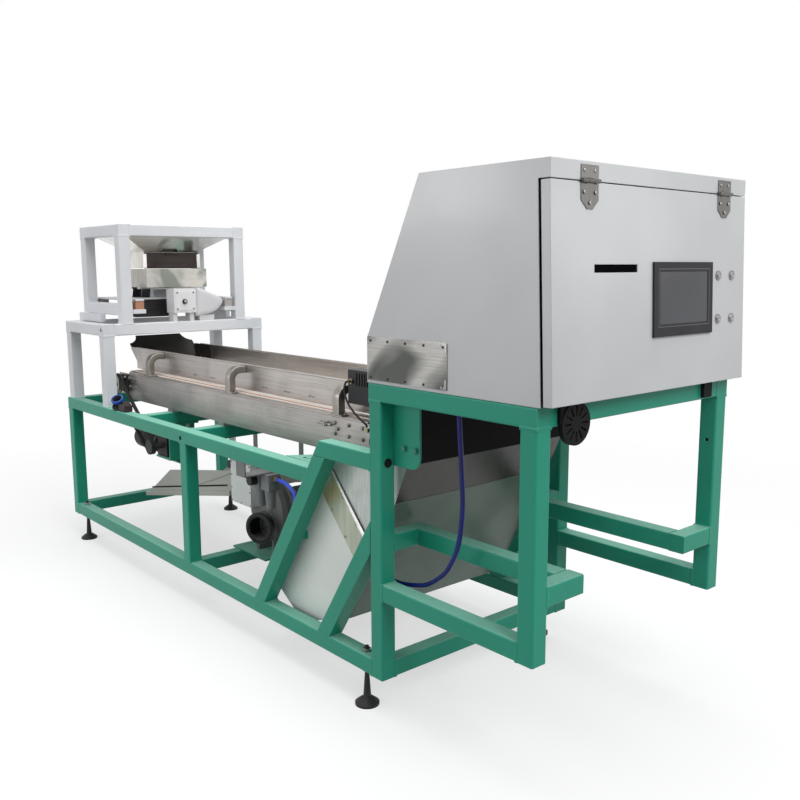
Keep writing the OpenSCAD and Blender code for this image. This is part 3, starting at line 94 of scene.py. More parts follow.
def noise(tree, place, scale, detail, **more):
    """The value of a noise texture at a place."""
    inputs = {"Vector": place, "Scale": scale, "Detail": detail}
    inputs.update({key.capitalize(): value for key, value in more.items()})
    return put(tree, "TexNoise", inputs).outputs["Fac"]


def mix(tree, share, first, second):
    """The first colour, turned into the second by a share."""
    return put(tree, "MixRGB", {0: share, 1: first, 2: second}).outputs[0]


def ramp(tree, value, start=0.0, stop=1.0, low=0.0, high=1.0):
    """A value brought in a straight line from start and stop to low and high, and held between them."""
    inputs = {"Value": value, "From Min": start, "From Max": stop, "To Min": low, "To Max": high}
    return put(tree, "MapRange", inputs).outputs[0]


def seen_rays(tree):
    """One for camera, glossy and transmission rays, which see the white surroundings, else zero."""
    rays = put(tree, "LightPath").outputs
    first = maths(tree, "MAXIMUM", rays["Is Camera Ray"], rays["Is Glossy Ray"])
    return maths(tree, "MAXIMUM", first, rays["Is Transmission Ray"])


world = bpy.data.worlds.new("studio")
scene.world = world
world.use_nodes = True
tree = world.node_tree
tree.nodes.clear()
lit = put(tree, "Background", {"Color": (0.97, 0.98, 1.0, 1), "Strength": 0.4})
white = put(tree, "Background", {"Color": (1, 1, 1, 1), "Strength": 1.0})
both = put(tree, "MixShader", {0: seen_rays(tree), 1: lit.outputs[0], 2: white.outputs[0]})
put(tree, "OutputWorld", {0: both.outputs[0]})

floor_reach, lines = 40, 9
spread = np.linspace(-floor_reach, floor_reach, lines)
gx, gy = np.meshgrid(spread, spread)
corner = np.arange(lines - 1)[:, None] * lines + np.arange(lines - 1)[None, :]
mesh = bpy.data.meshes.new("floor")
mesh.from_pydata(np.stack([gx, gy, gx * 0], -1).reshape(-1, 3).tolist(), [],
                 np.stack([corner, corner + 1, corner + lines + 1, corner + lines], -1).reshape(-1, 4).tolist())
floor = bpy.data.objects.new("floor", mesh)
scene.collection.objects.link(floor)
material = bpy.data.materials.new("pale_floor")
material.use_nodes = True
tree = material.node_tree
tree.nodes.clear()
place = put(tree, "TexCoord").outputs["Object"]
away = vector(tree, "LENGTH", place)
fade = ramp(tree, away, 1.6, 4.5, 0.58)
seen = seen_rays(tree)
pale = mix(tree, noise(tree, place, 40.0, 4.0), (0.9, 0.9, 0.9, 1), (0.93, 0.93, 0.93, 1))
tone = mix(tree, seen, (0.36, 0.36, 0.35, 1), pale)
matt = put(tree, "BsdfDiffuse", {"Color": tone, "Roughness": 0.6})
glow = put(tree, "Emission", {"Color": (1, 1, 1, 1), "Strength": 1.0})
both = put(tree, "MixShader", {0: maths(tree, "MULTIPLY", fade, seen), 1: matt.outputs[0], 2: glow.outputs[0]})
put(tree, "OutputMaterial", {0: both.outputs[0]})
mesh.materials.append(material)


def soft_light(name, place, target, size, power):
    """A square area lamp at a place, turned to its target."""
    lamp = bpy.data.lights.new(name, "AREA")
    lamp.size = size
    lamp.energy = power
    thing = bpy.data.objects.new(name, lamp)
    scene.collection.objects.link(thing)
    thing.location = place
    thing.rotation_euler = (Vector(target) - Vector(place)).to_track_quat("-Z", "Y").to_euler()


soft_light("light_top", (0.3, 0.3, 5.2), (0.1, 0.0, 0.6), 4.5, 185)
soft_light("light_front", (4.9, -0.6, 4.0), (0.6, 0.0, 0.9), 2.6, 136)
soft_light("light_side", (-0.8, -5.0, 1.8), (0.0, 0.0, 0.8), 3.0, 50)
soft_light("light_window_1", (-4.5, -5.0, 2.35), (1.0, -0.5, 1.6), 0.8, 18)
soft_light("light_window_2", (-3.1, -5.0, 2.4), (1.3, -0.5, 1.6), 0.8, 18)
soft_light("light_hall_1", (5.2, 3.3, 2.2), (1.7, -0.2, 1.5), 0.9, 5)
soft_light("light_hall_2", (5.2, 4.7, 2.2), (1.7, 0.2, 1.5), 0.9, 5)

# The camera's place and turn come from a fit to the straight edges of the frame.
eye, (yaw, pitch, roll) = (3.16388, -2.23342, 1.51088), (2.431114, 0.150428, -0.003721)
forward = np.array([math.cos(pitch) * math.cos(yaw), math.cos(pitch) * math.sin(yaw), -math.sin(pitch)])
level = np.array([math.sin(yaw), -math.cos(yaw), 0.0])
upward = np.cross(level, forward)
right = math.cos(roll) * level + math.sin(roll) * upward
upright = -math.sin(roll) * level + math.cos(roll) * upward
camera = bpy.data.objects.new("camera", bpy.data.cameras.new("camera"))
camera.data.sensor_width = 36.0
camera.data.lens = 39.2
camera.data.clip_end = 200.0
turn = Matrix(np.stack([right, upright, -forward], 1).tolist()).to_4x4()
camera.matrix_world = Matrix.Translation(eye) @ turn
scene.collection.objects.link(camera)
scene.camera = camera


# ---------------------------------------------------------------- welded frame
# Square steel tube, cut, welded and sprayed with a green two-pack enamel. The film has a fine orange
# peel and lies thinner over the edges; its upper faces are painted a pale green, painted light from above.
def colour_of(red, green, blue):
    """A screen colour, 0 to 255, as the linear colour that shaders take."""
    c = np.array([red, green, blue]) / 255.0
    return tuple(np.where(c <= 0.04045, c / 12.92, ((c + 0.055) / 1.055) ** 2.4).tolist()) + (1.0,)


def node_group(name, inputs, outputs):
    """An empty shader node group; inputs are (name, type, default), outputs (name, type)."""
    group = bpy.data.node_groups.new(name, "ShaderNodeTree")
    for label, kind, default in inputs:
        group.interface.new_socket(label, in_out="INPUT", socket_type="NodeSocket" + kind).default_value = default
    for label, kind in outputs:
        group.interface.new_socket(label, in_out="OUTPUT", socket_type="NodeSocket" + kind)
    return group, group.nodes.new("NodeGroupInput").outputs, group.nodes.new("NodeGroupOutput")


def hand_out(group, leave, **results):
    """Links results to the group's outputs, by name."""
    for label, socket in results.items():
        group.links.new(socket, leave.inputs[label])


# Soft edges: a narrow bevel in the normal, and a mask where the surface turns over an edge.
edges, take, leave = node_group("soft_edges", [("Radius", "Float", 0.003)],
                                [("Normal", "Vector"), ("Edge", "Float")])
bent = put(edges, "Bevel", {"Radius": take["Radius"]}, samples=6).outputs[0]
flat = put(edges, "NewGeometry").outputs["Normal"]
along = vector(edges, "DOT_PRODUCT", bent, flat)
bend = ramp(edges, along, 0.995, 0.86)
hand_out(edges, leave, Normal=bent, Edge=bend)

# Paint film: broad unevenness, orange peel, thin edges, and a paler tone on what faces up: dust on most paints,
# painted light from above on the green frame.
film, take, leave = node_group("paint_film", [
    ("Colour", "Color", (0.5, 0.5, 0.5, 1)), ("Edge colour", "Color", (0.8, 0.8, 0.8, 1)), ("Edge", "Float", 0.0),
    ("Peel scale", "Float", 320.0), ("Dust", "Float", 0.2), ("Gloss", "Float", 0.3),
    ("Dust colour", "Color", (0.72, 0.72, 0.68, 1))],
    [("Colour", "Color"), ("Roughness", "Float"), ("Height", "Float")])
coords = put(film, "TexCoord").outputs
broad = noise(film, coords["Object"], 2.4, 3.0)
peel = noise(film, coords["Object"], take["Peel scale"], 2.0)
specks = noise(film, coords["Object"], 55.0, 6.0, roughness=0.7)
shade = ramp(film, broad, 0.3, 0.7, 0.92, 1.06)
base = vector(film, "SCALE", take["Colour"], shade)
wear_and_shade = maths(film, "MULTIPLY", take["Edge"], ramp(film, specks, 0.38, 0.62, 0.15, 0.75))
edged = mix(film, wear_and_shade, base, take["Edge colour"])
up = put(film, "SeparateXYZ", {0: coords["Normal"]}).outputs[2]
lies = ramp(film, up, 0.6, 0.98)
even = ramp(film, specks, 0.25, 0.75, 0.42, 0.58)
dust_and_painted_light = maths(film, "MULTIPLY", maths(film, "MULTIPLY", lies, even), take["Dust"])
dusted_and_top_lit = mix(film, dust_and_painted_light, edged, take["Dust colour"])
matt = maths(film, "ADD", maths(film, "ADD", take["Gloss"], maths(film, "MULTIPLY", specks, 0.12)),
             maths(film, "MULTIPLY", dust_and_painted_light, 0.5), clamp=True)
hand_out(film, leave, Colour=dusted_and_top_lit, Roughness=matt, Height=peel)


def use_group(tree, group, **values):
    """A group placed in a tree; underscores in the names of its inputs stand for blanks."""
    node = put(tree, "Group", node_tree=group)
    for key, value in values.items():
        socket = node.inputs[key.replace("_", " ")]
        if isinstance(value, bpy.types.NodeSocket):
            tree.links.new(value, socket)
        else:
            socket.default_value = value
    return node.outputs


def new_material(name, **constants):
    """A material with a Principled shader, its constants set on the shader's own sockets."""
    made = bpy.data.materials.new(name)
    made.use_nodes = True
    tree = made.node_tree
    tree.nodes.clear()
    shader = put(tree, "BsdfPrincipled", {key.replace("_", " "): value for key, value in constants.items()})
    put(tree, "OutputMaterial", {0: shader.outputs[0]})
    return made, tree, shader


def join(tree, shader, colour=None, roughness=None, height=None, strength=0.1, depth=0.001, normal=None, **others):
    """Feeds the Principled shader: colour, roughness, a bump from a height, and any other sockets by name."""
    if height is not None:
        bump = put(tree, "Bump", {"Height": height, "Strength": strength, "Distance": depth})
        if normal is not None:
            tree.links.new(normal, bump.inputs["Normal"])
        normal = bump.outputs[0]
    wanted = {"Base Color": colour, "Roughness": roughness, "Normal": normal}
    wanted.update({key.replace("_", " "): value for key, value in others.items()})
    for key, value in wanted.items():
        if value is not None:
            tree.links.new(value, shader.inputs[key])


def lay(tree, shader, skin, strength, depth, soft):
    """Feeds the shader with a skin, the outputs of a group, over soft edges."""
    join(tree, shader, skin["Colour"], skin["Roughness"], skin["Height"], strength, depth, soft["Normal"])


def paint(name, colour, edge_colour, gloss, dust, radius, peel=320.0, strength=0.12, sheen=0.22, coat=0.05,
          dust_and_top_light_colour=(0.72, 0.72, 0.68, 1)):
    """A sprayed enamel: the paint film over soft edges, with its specular level and its clear coat."""
    made, tree, shader = new_material(name, Coat_Weight=coat, Coat_Roughness=0.12, Specular_IOR_Level=sheen)
    soft = use_group(tree, edges, Radius=radius)
    skin = use_group(tree, film, Colour=colour, Edge_colour=edge_colour, Edge=soft["Edge"], Peel_scale=peel,
                     Dust=dust, Gloss=gloss, Dust_colour=dust_and_top_light_colour)
    lay(tree, shader, skin, strength, 0.001, soft)
    return made


def dress(material, *names):
    """Gives CAD nodes their finish."""
    for name in names:
        nodes[name].data.materials.clear()
        nodes[name].data.materials.append(material)


# The frame's upper faces take a pale green through the film's dust input: painted light from above.
frame_green, frame_top_light = colour_of(32, 144, 119), colour_of(176, 226, 208)
green_enamel = paint("green_enamel", frame_green, colour_of(112, 190, 170), 0.32, 0.9, 0.005, dust_and_top_light_colour=frame_top_light)
dress(green_enamel, "base_rails", "frame_posts", "upper_rails", "slant_struts", "cabinet_rails", "bay_frame",
      "support_brackets")


def shell(name, grids, material, body="frame", sharp=40.0):
    """One piece from surfaces, each a grid of points in millimetres: neighbours in the grid make a quad,
    doubles are merged and the faces turned outwards."""
    points, quads, start = [], [], 0
    for grid in grids:
        rows, columns = grid.shape[:2]
        corner = start + np.arange(rows - 1)[:, None] * columns + np.arange(columns - 1)[None, :]
        quads.append(np.stack([corner, corner + 1, corner + columns + 1, corner + columns], -1).reshape(-1, 4))
        points.append(grid.reshape(-1, 3))
        start += rows * columns
    mesh = bpy.data.meshes.new(name)
    mesh.from_pydata((np.concatenate(points) / 1000).tolist(), [], np.concatenate(quads).tolist())
    work = bmesh.new()
    work.from_mesh(mesh)
    bmesh.ops.remove_doubles(work, verts=work.verts, dist=2e-6)
    bmesh.ops.recalc_face_normals(work, faces=work.faces)
    work.to_mesh(mesh)
    work.free()
    mesh.shade_smooth()
    mesh.set_sharp_from_angle(angle=math.radians(sharp))
    mesh.materials.append(material)
    piece = bpy.data.objects.new(name, mesh)
    scene.collection.objects.link(piece)
    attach(piece, body)
    return piece


def bar(width, height, radius, steps=4):
    """The section of a bar: a rectangle whose corners are quarter circles, as a closed ring."""
    turn = np.concatenate([np.linspace(0, np.pi / 2, steps) + k * np.pi / 2 for k in range(4)])
    x = np.repeat([1, -1, -1, 1], steps) * (width / 2 - radius) + radius * np.cos(turn)
    y = np.repeat([1, 1, -1, -1], steps) * (height / 2 - radius) + radius * np.sin(turn)
    ring = np.stack([x, y], 1)
    return np.concatenate([ring, ring[:1]])


def swept(section, path, up, closed=False, grow=1.0):
    """A section carried along a path: its first axis lies across the path, in the half angle of a bend and
    stretched there so that straight runs keep their width, its second along up; open ends draw to a point."""
    p = np.array(path, float)
    p = np.concatenate([p, p[:1]]) if closed else p
    way = np.diff(p, axis=0)
    way /= np.linalg.norm(way, axis=1)[:, None]
    before = np.concatenate([way[-1:] if closed else way[:1], way])
    after = np.concatenate([way, way[:1] if closed else way[-1:]])
    up = np.array(up, float) / np.linalg.norm(up)
    left, right = np.cross(before, up), np.cross(after, up)
    across = (left + right) / (1 + (left * right).sum(1))[:, None]
    size = np.broadcast_to(grow, len(p))[:, None, None]
    grid = p[:, None] + size * (section[None, :, :1] * across[:, None] + section[None, :, 1:] * up)
    if closed:
        return grid
    ends = [np.broadcast_to(grid[k, :-1].mean(0), grid[:1].shape) for k in (0, -1)]
    return np.concatenate([ends[0], grid, ends[1]])


def mirrored(grids):
    """The grids, and the same on the far side of the part."""
    return grids + [grid * (1, -1, 1) for grid in grids]


def beads(ends, half=29.8, thick=2.0, width=11.0, steps=15, margin=0.2):
    """Weld beads, dressed flat: round each tube end, given as its centre and the number of its axis, a square
    loop of a low broad section that ripples a little along the way, flush with the part's outer box."""
    t = np.arange(4 * steps) / steps
    k = t.astype(int)
    corners = np.array([(-1, -1), (1, -1), (1, 1), (-1, 1)]) * half
    flat = corners[k] + (corners[(k + 1) % 4] - corners[k]) * (t - k)[:, None]
    ripple = 1 + 0.06 * np.cos(np.arange(4 * steps + 1) * np.pi)
    loops = []
    for x, y, z, axis in ends:
        spread = np.insert(flat, axis, 0.0, axis=1)
        loop = swept(bar(thick, width, 0.48 * thick, 3), spread + (x, y, z), np.eye(3)[axis], True, ripple)
        loops.append(np.maximum(loop, np.array(cad_box[0]) * 1000 + margin))
    return mirrored(loops)


frame_ends = [
    (-1675, -455, 165, 0), (975, -455, 165, 0), (-1705, -425, 165, 1), (-358, -425, 165, 1), (1005, -425, 165, 1),
    (-358, -455, 195, 2), (-358, -455, 740, 2), (-1705, -455, 740, 2), (1005, -455, 1085, 2), (1655, -455, 1085, 2),
    (-1705, -425, 770, 1), (-867, -425, 770, 1), (-358, -425, 770, 1), (523.6, -425, 770, 1), (975, -455, 880, 0),
    (1035, -455, 445, 0), (1625, -455, 445, 0), (1005, -425, 607, 1), (1655, -425, 607, 1), (1655, -425, 1115, 1),
    (1005, -425, 1115, 1)]
# The beads' upper faces take the same painted light from above.
weld_green = paint("weld_green", frame_green, colour_of(60, 160, 138), 0.34, 0.9, 0.0005, dust_and_top_light_colour=frame_top_light)
shell("weld_beads_green", beads(frame_ends), weld_green)


# ---------------------------------------------------------------- air hose
# Blue polyurethane hose of 16 mm from the regulator to the valves: it loops down behind the strut,
# lies over the lower rail and rises in a free bow to its fitting in the cabinet floor.
def bow(points, steps):
    """A smooth line through points: on each stretch a cubic whose slope at a point is half the way
    between its two neighbours."""
    p = np.array(points, float)
    p = np.concatenate([p[:1], p, p[-1:]])
    t = (np.arange(steps) / steps)[None, :, None]
    a, b, c, d = (p[i:len(p) - 3 + i, None, :] for i in range(4))
    line = 0.5 * (2 * b + (c - a) * t + (2 * a - 5 * b + 4 * c - d) * t ** 2 + (3 * b - a - 3 * c + d) * t ** 3)
    return np.concatenate([line.reshape(-1, 3), p[-1:]])


def cord_piece(name, points, radius, material):
    """A round cord along its points, as one open spline with a round bevel."""
    curve = bpy.data.curves.new(name, "CURVE")
    curve.dimensions = "3D"
    curve.bevel_depth = radius
    curve.bevel_resolution = 5
    curve.use_fill_caps = True
    spline = curve.splines.new("POLY")
    spline.points.add(len(points) - 1)
    spline.points.foreach_set("co", np.concatenate([points, np.ones((len(points), 1))], 1).ravel())
    curve.materials.append(material)
    piece = bpy.data.objects.new(name, curve)
    scene.collection.objects.link(piece)
    return piece


hose_route = np.array([
    (130, -300, 633), (175, -304, 634), (245, -320, 631), (320, -345, 614), (380, -385, 572), (417, -407, 510),
    (394, -410, 445), (344, -410, 380), (298, -410, 315), (256, -410, 255), (246, -410, 205), (284, -410, 170),
    (370, -410, 158), (520, -410, 156), (620, -410, 165), (690, -410, 205), (735, -410, 270), (780, -410, 345),
    (830, -408, 415), (890, -403, 452), (950, -398, 458), (1010, -395, 456), (1072, -395, 464), (1157, -395, 488),
    (1236, -395, 543), (1280, -395, 604), (1305, -395, 668), (1316, -395, 734), (1320, -395, 800),
    (1317, -395, 864), (1310, -395, 964), (1303, -395, 1060), (1302, -395, 1115)]) / 1000
hose_blue, tree, shader = new_material("hose_blue", Specular_IOR_Level=0.25, Coat_Weight=0.06, Coat_Roughness=0.15)
coords = put(tree, "TexCoord").outputs["Object"]
cloud = noise(tree, coords, 14.0, 4.0)
tone = mix(tree, cloud, colour_of(5, 14, 72), colour_of(14, 32, 126))
# Towards the regulator the hose is a brighter blue: painted light where it is lit.
painted_light_by_regulator = ramp(tree, put(tree, "SeparateXYZ", {0: coords}).outputs[0], 0.5, 0.25)
tone = mix(tree, painted_light_by_regulator, tone, colour_of(62, 92, 228))
matt = ramp(tree, cloud, low=0.22, high=0.42)
skin = noise(tree, coords, 260.0, 2.0)
join(tree, shader, tone, matt, skin, 0.05, 0.0005)
hose_line = bow(hose_route, 8)
hose = cord_piece("air_hose_blue", hose_line, 0.008, hose_blue)
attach(hose, "frame")
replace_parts(hose, "air_hose")


# ---------------------------------------------------------------- sensor cable
# Black rubber lead of 8 mm, moulded on to the sensor's plug on the near guard and held by the gland on the
# side plate; it hangs free between them.
plug = np.array((592, -278, 1093))
gland = np.array((730, -304, 936))
cable_route = np.concatenate([
    plug + [(0, 0, 0), (1, -10, -3), (5, -20, -23), (14, -24, -48), (36, -26, -78), (70, -27, -105),
            (105, -27, -125)],
    gland + np.array([(-14, -2, 24), (-1, 3, 14), (0, 5, 4.5)])]) / 1000
black_rubber, tree, shader = new_material("black_rubber", Specular_IOR_Level=0.2)
coords = put(tree, "TexCoord").outputs["Object"]
cloud = noise(tree, coords, 30.0, 6.0)
tone = mix(tree, cloud, (0.009, 0.009, 0.01, 1), (0.03, 0.03, 0.032, 1))
matt = ramp(tree, cloud, low=0.4, high=0.7)
skin = noise(tree, coords, 700.0, 2.0)
join(tree, shader, tone, matt, skin, 0.15, 0.0004)
cable_line = bow(cable_route, 8)
cable = cord_piece("sensor_cable_black", cable_line, 0.004, black_rubber)
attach(cable, "frame")
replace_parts(cable, "sensor_cable")


# ---------------------------------------------------------------- levelling feet and bolts
# Turned steel pads, blackened, on threaded stems with two nuts each. The hexagon bolts of the
# bearings, gussets and side plates are zinc plated and slightly dulled.
def blackened(name, colour, rough, radius, scale=90.0, sheen=0.2):
    """Dark oxidised or moulded skin: cloudy tone, fine grain in the normal, edges rubbed paler."""
    made, tree, shader = new_material(name, Specular_IOR_Level=sheen)
    soft = use_group(tree, edges, Radius=radius)
    coords = put(tree, "TexCoord").outputs["Object"]
    cloud = noise(tree, coords, 18.0, 5.0)
    grain = put(tree, "TexVoronoi", {"Vector": coords, "Scale": scale * 8}).outputs["Distance"]
    low = tuple(c * 0.65 for c in colour[:3]) + (1,)
    high = tuple(min(c * 1.5 + 0.01, 1.0) for c in colour[:3]) + (1,)
    tone = mix(tree, cloud, low, high)
    rubbed = maths(tree, "MULTIPLY", soft["Edge"], maths(tree, "MULTIPLY", cloud, 0.5))
    tone = mix(tree, rubbed, tone, (0.12, 0.12, 0.12, 1))
    matt = ramp(tree, cloud, low=rough - 0.1, high=rough + 0.12)
    join(tree, shader, tone, matt, grain, 0.12, 0.0004, soft["Normal"])
    return made


# Brushed metal: streaks along one direction over cloudy patches left by handling and cleaning.
brushed, take, leave = node_group("brushed_metal", [
    ("Colour", "Color", (0.6, 0.58, 0.55, 1)), ("Stretch", "Vector", (2.0, 240.0, 240.0)), ("Gloss", "Float", 0.25),
    ("Stain", "Float", 0.25)], [("Colour", "Color"), ("Roughness", "Float"), ("Height", "Float")])
coords = put(brushed, "TexCoord").outputs["Object"]
drawn = vector(brushed, "MULTIPLY", coords, take["Stretch"])
streak = noise(brushed, drawn, 1.0, 5.0, roughness=0.65)
cloud = noise(brushed, coords, 4.5, 5.0, distortion=0.6)
fleck = noise(brushed, coords, 60.0, 4.0)
drawn_tone = ramp(brushed, streak, 0.3, 0.7, 0.8, 1.14)
tint = vector(brushed, "SCALE", take["Colour"], drawn_tone)
patch = ramp(brushed, cloud, 0.42, 0.68)
patch = maths(brushed, "MULTIPLY", patch, take["Stain"])
dull = vector(brushed, "SCALE", tint, 0.5)
stained = mix(brushed, patch, tint, dull)
matt = maths(brushed, "ADD", take["Gloss"], maths(brushed, "MULTIPLY", streak, 0.2))
flecked = maths(brushed, "MULTIPLY", maths(brushed, "MULTIPLY", fleck, patch), 0.6)
matt = maths(brushed, "ADD", matt, flecked, clamp=True)
hand_out(brushed, leave, Colour=stained, Roughness=matt, Height=streak)


def metal(name, colour, stretch, gloss, stain, radius, strength=0.05):
    """A bare metal: brushed streaks over soft edges."""
    made, tree, shader = new_material(name, Metallic=1.0)
    soft = use_group(tree, edges, Radius=radius)
    skin = use_group(tree, brushed, Colour=colour, Stretch=stretch, Gloss=gloss, Stain=stain)
    lay(tree, shader, skin, strength, 0.0005, soft)
    return made


# Zone: a mask that is one inside a box.
zone, take, leave = node_group("zone_box", [("Centre", "Vector", (0, 0, 0)), ("Half", "Vector", (1, 1, 1))],
                               [("Mask", "Float")])
coords = put(zone, "TexCoord").outputs["Object"]
off = vector(zone, "SUBTRACT", coords, take["Centre"])
off = vector(zone, "DIVIDE", off, take["Half"])
off = put(zone, "SeparateXYZ", {0: vector(zone, "ABSOLUTE", off)}).outputs
worst = maths(zone, "MAXIMUM", maths(zone, "MAXIMUM", off[0], off[1]), off[2])
hand_out(zone, leave, Mask=maths(zone, "LESS_THAN", worst, 1.0))


def in_zone(tree, low, high):
    """A mask that is one between two corners, in the part's frame."""
    low, high = np.array(low), np.array(high)
    return use_group(tree, zone, Centre=((low + high) / 2).tolist(), Half=((high - low) / 2).tolist())["Mask"]


# The gussets' bolts were sprayed over with the frame; all others are bare zinc.
zinc_grey, even_grain = (0.3, 0.3, 0.29, 1), (60.0, 60.0, 60.0)
bolt_zinc, tree, shader = new_material("bolt_zinc", IOR=1.5)
gusset = maths(tree, "MAXIMUM", in_zone(tree, (1.08, -0.46, 0.85), (1.17, -0.42, 1.0)),
               in_zone(tree, (1.08, 0.42, 0.85), (1.17, 0.46, 1.0)))
soft = use_group(tree, edges, Radius=0.001)
skin = use_group(tree, brushed, Colour=zinc_grey, Stretch=even_grain, Gloss=0.22, Stain=0.35)
tone = mix(tree, gusset, skin["Colour"], colour_of(26, 118, 97))
join(tree, shader, tone, skin["Roughness"], skin["Height"], 0.05, 0.0005, soft["Normal"],
     Metallic=maths(tree, "SUBTRACT", 1.0, gusset))
dress(bolt_zinc, "bolts")
black_steel = blackened("black_steel", (0.025, 0.025, 0.027), 0.42, 0.002)
zinc = metal("zinc_plate", zinc_grey, even_grain, 0.22, 0.35, 0.001)
dress(black_steel, "levelling_feet")
dress(zinc, "take_ups")


# ---------------------------------------------------------------- black fittings on the frame
# Moulded black nylon: plugs pressed into the main posts, door catches screwed to the rail under the door, and
# the round slotted buffer beside them.
black_plastic = blackened("black_plastic", (0.018, 0.018, 0.02), 0.45, 0.0015, 140.0)
nylon_black = blackened("nylon_black", (0.005, 0.005, 0.006), 0.6, 0.0015, 140.0, 0.08)
dress(nylon_black, "front_fittings")


# ---------------------------------------------------------------- white stands
# Two welded stands of square tube, sprayed white: the lower one carries the upper one, which carries
# the hopper. The feeder's base plate has the same paint.
stand_white = colour_of(216, 218, 222)
white_enamel = paint("white_enamel", stand_white, colour_of(236, 236, 238), 0.32, 0.08, 0.005)
dress(white_enamel, "feeder_stand", "hopper_stand", "feeder_base")
stand_ends = [
    (x, *end) for end in ((-442, 800, 2), (-442, 1168, 2), (-412, 1198, 1), (-335, 1228, 2), (-335, 1680, 2),
                          (-305, 1710, 1)) for x in (-1705, -1245)]
stand_ends += [(-1675, -335, 1300, 0), (-1275, -335, 1300, 0)]
weld_white = paint("weld_white", stand_white, colour_of(228, 229, 232), 0.34, 0.08, 0.0005)
shell("weld_beads_white", beads(stand_ends), weld_white)


# ---------------------------------------------------------------- hopper, gate and vibrating tray
# Folded stainless sheet, welded at its corners and left with the brushed mill finish; the gate plate is
# dark and slides in two folded guides.
def with_painted_reflections(name, dull, bright, scale, stretch, gloss, shift=(0, 0, 0)):
    """A brushed sheet in two tones laid out in soft patches: a painted reflection of the room."""
    made, tree, shader = new_material(name, Metallic=1.0)
    coords = put(tree, "TexCoord").outputs["Object"]
    moved = vector(tree, "ADD", coords, shift)
    reflection_cloud = noise(tree, moved, scale, 1.5, distortion=0.9)
    clear = ramp(tree, reflection_cloud, 0.43, 0.55)
    skin = use_group(tree, brushed, Colour=bright, Stretch=stretch, Gloss=gloss, Stain=0.2)
    tone = mix(tree, clear, dull, skin["Colour"])
    matt = ramp(tree, clear, low=gloss - 0.06, high=gloss + 0.1)
    join(tree, shader, tone, matt, skin["Height"], 0.02, 0.0005, use_group(tree, edges, Radius=0.001)["Normal"])
    return made


sheet_grain = (160.0, 3.0, 12.0)
# The pale and dark patches on the hopper and the tray are painted reflections.
stainless_hopper = with_painted_reflections("stainless_hopper", (0.56, 0.56, 0.53, 1), (0.86, 0.84, 0.79, 1), 4.2, sheet_grain, 0.22)
stainless_tray = with_painted_reflections("stainless_tray", (0.22, 0.24, 0.21, 1), (0.52, 0.5, 0.46, 1), 4.2, sheet_grain, 0.22)
stainless_gate = metal("stainless_gate", (0.055, 0.046, 0.044, 1), (160.0, 3.0, 160.0), 0.3, 0.5, 0.001)
dress(stainless_hopper, "hopper")
dress(stainless_tray, "feeder_tray")
dress(stainless_gate, "hopper_gate")


# ---------------------------------------------------------------- feeder springs
# Leaf springs of blued strip, screwed between tray and base, and four rubber blocks bonded under the base:
# tan on the near side, paler on the far side.
spring_blocks, tree, shader = new_material("spring_blocks", IOR=1.5)
coords = put(tree, "TexCoord").outputs["Object"]
cloud = noise(tree, coords, 70.0, 6.0)
low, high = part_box("feeder_springs")
slack, block_height = 0.01, 0.0445
block = in_zone(tree, (low.x - slack, low.y - slack, low.z - slack),
                (high.x + slack, high.y + slack, low.z + block_height))
near = in_zone(tree, (-1.3, low.y - slack, low.z - slack), (high.x + slack, 0.0, high.z))
tan = mix(tree, near, colour_of(176, 172, 172), colour_of(178, 128, 98))
tan = mix(tree, maths(tree, "MULTIPLY", cloud, 0.4), tan, colour_of(120, 100, 88))
blued = mix(tree, cloud, (0.05, 0.055, 0.07, 1), (0.12, 0.12, 0.14, 1))
tone = mix(tree, block, blued, tan)
matt = ramp(tree, block, low=0.3, high=0.75)
bare = maths(tree, "SUBTRACT", 1.0, block)
join(tree, shader, tone, matt, cloud, 0.2, 0.0006, use_group(tree, edges, Radius=0.002)["Normal"], Metallic=bare)
dress(spring_blocks, "feeder_springs")


# ---------------------------------------------------------------- control box
# Pale moulded case with a screwed face plate and a black speed knob; the grey hood beside it is a
# curved moulding over the feeder's leads.
def moulded(name, colour, rough, radius):
    """A pale moulded plastic: faint flow marks and a fine spark-eroded grain."""
    made, tree, shader = new_material(name, Specular_IOR_Level=0.3)
    soft = use_group(tree, edges, Radius=radius)
    paler = tuple(min(c * 1.1, 1.0) for c in colour)
    coat = use_group(tree, film, Colour=colour, Edge_colour=paler, Edge=soft["Edge"], Peel_scale=900.0, Dust=0.3,
                     Gloss=rough)
    lay(tree, shader, coat, 0.12, 0.0005, soft)
    return made


case_plastic = moulded("case_plastic", colour_of(224, 224, 226), 0.4, 0.004)
hood_plastic = moulded("hood_plastic", colour_of(210, 209, 212), 0.45, 0.004)
dress(case_plastic, "control_box")


def turned(profile, centre, axis, sides=24, flutes=0, depth=0.0):
    """A turned shape: each (radius, height) of the profile is a ring round the axis through the centre;
    flutes ripple the radius by a share of depth."""
    axis = np.array(axis, float) / np.linalg.norm(axis)
    side = np.cross(axis, (0.31, 0.53, 0.79))
    side /= np.linalg.norm(side)
    angle = np.linspace(0, 2 * np.pi, sides + 1)
    ring = np.cos(angle)[:, None] * side + np.sin(angle)[:, None] * np.cross(axis, side)
    ring *= (1 - depth * (0.5 + 0.5 * np.cos(flutes * angle)))[:, None]
    radius, height = np.array(profile, float).T
    return np.array(centre, float) + radius[:, None, None] * ring + height[:, None, None] * axis


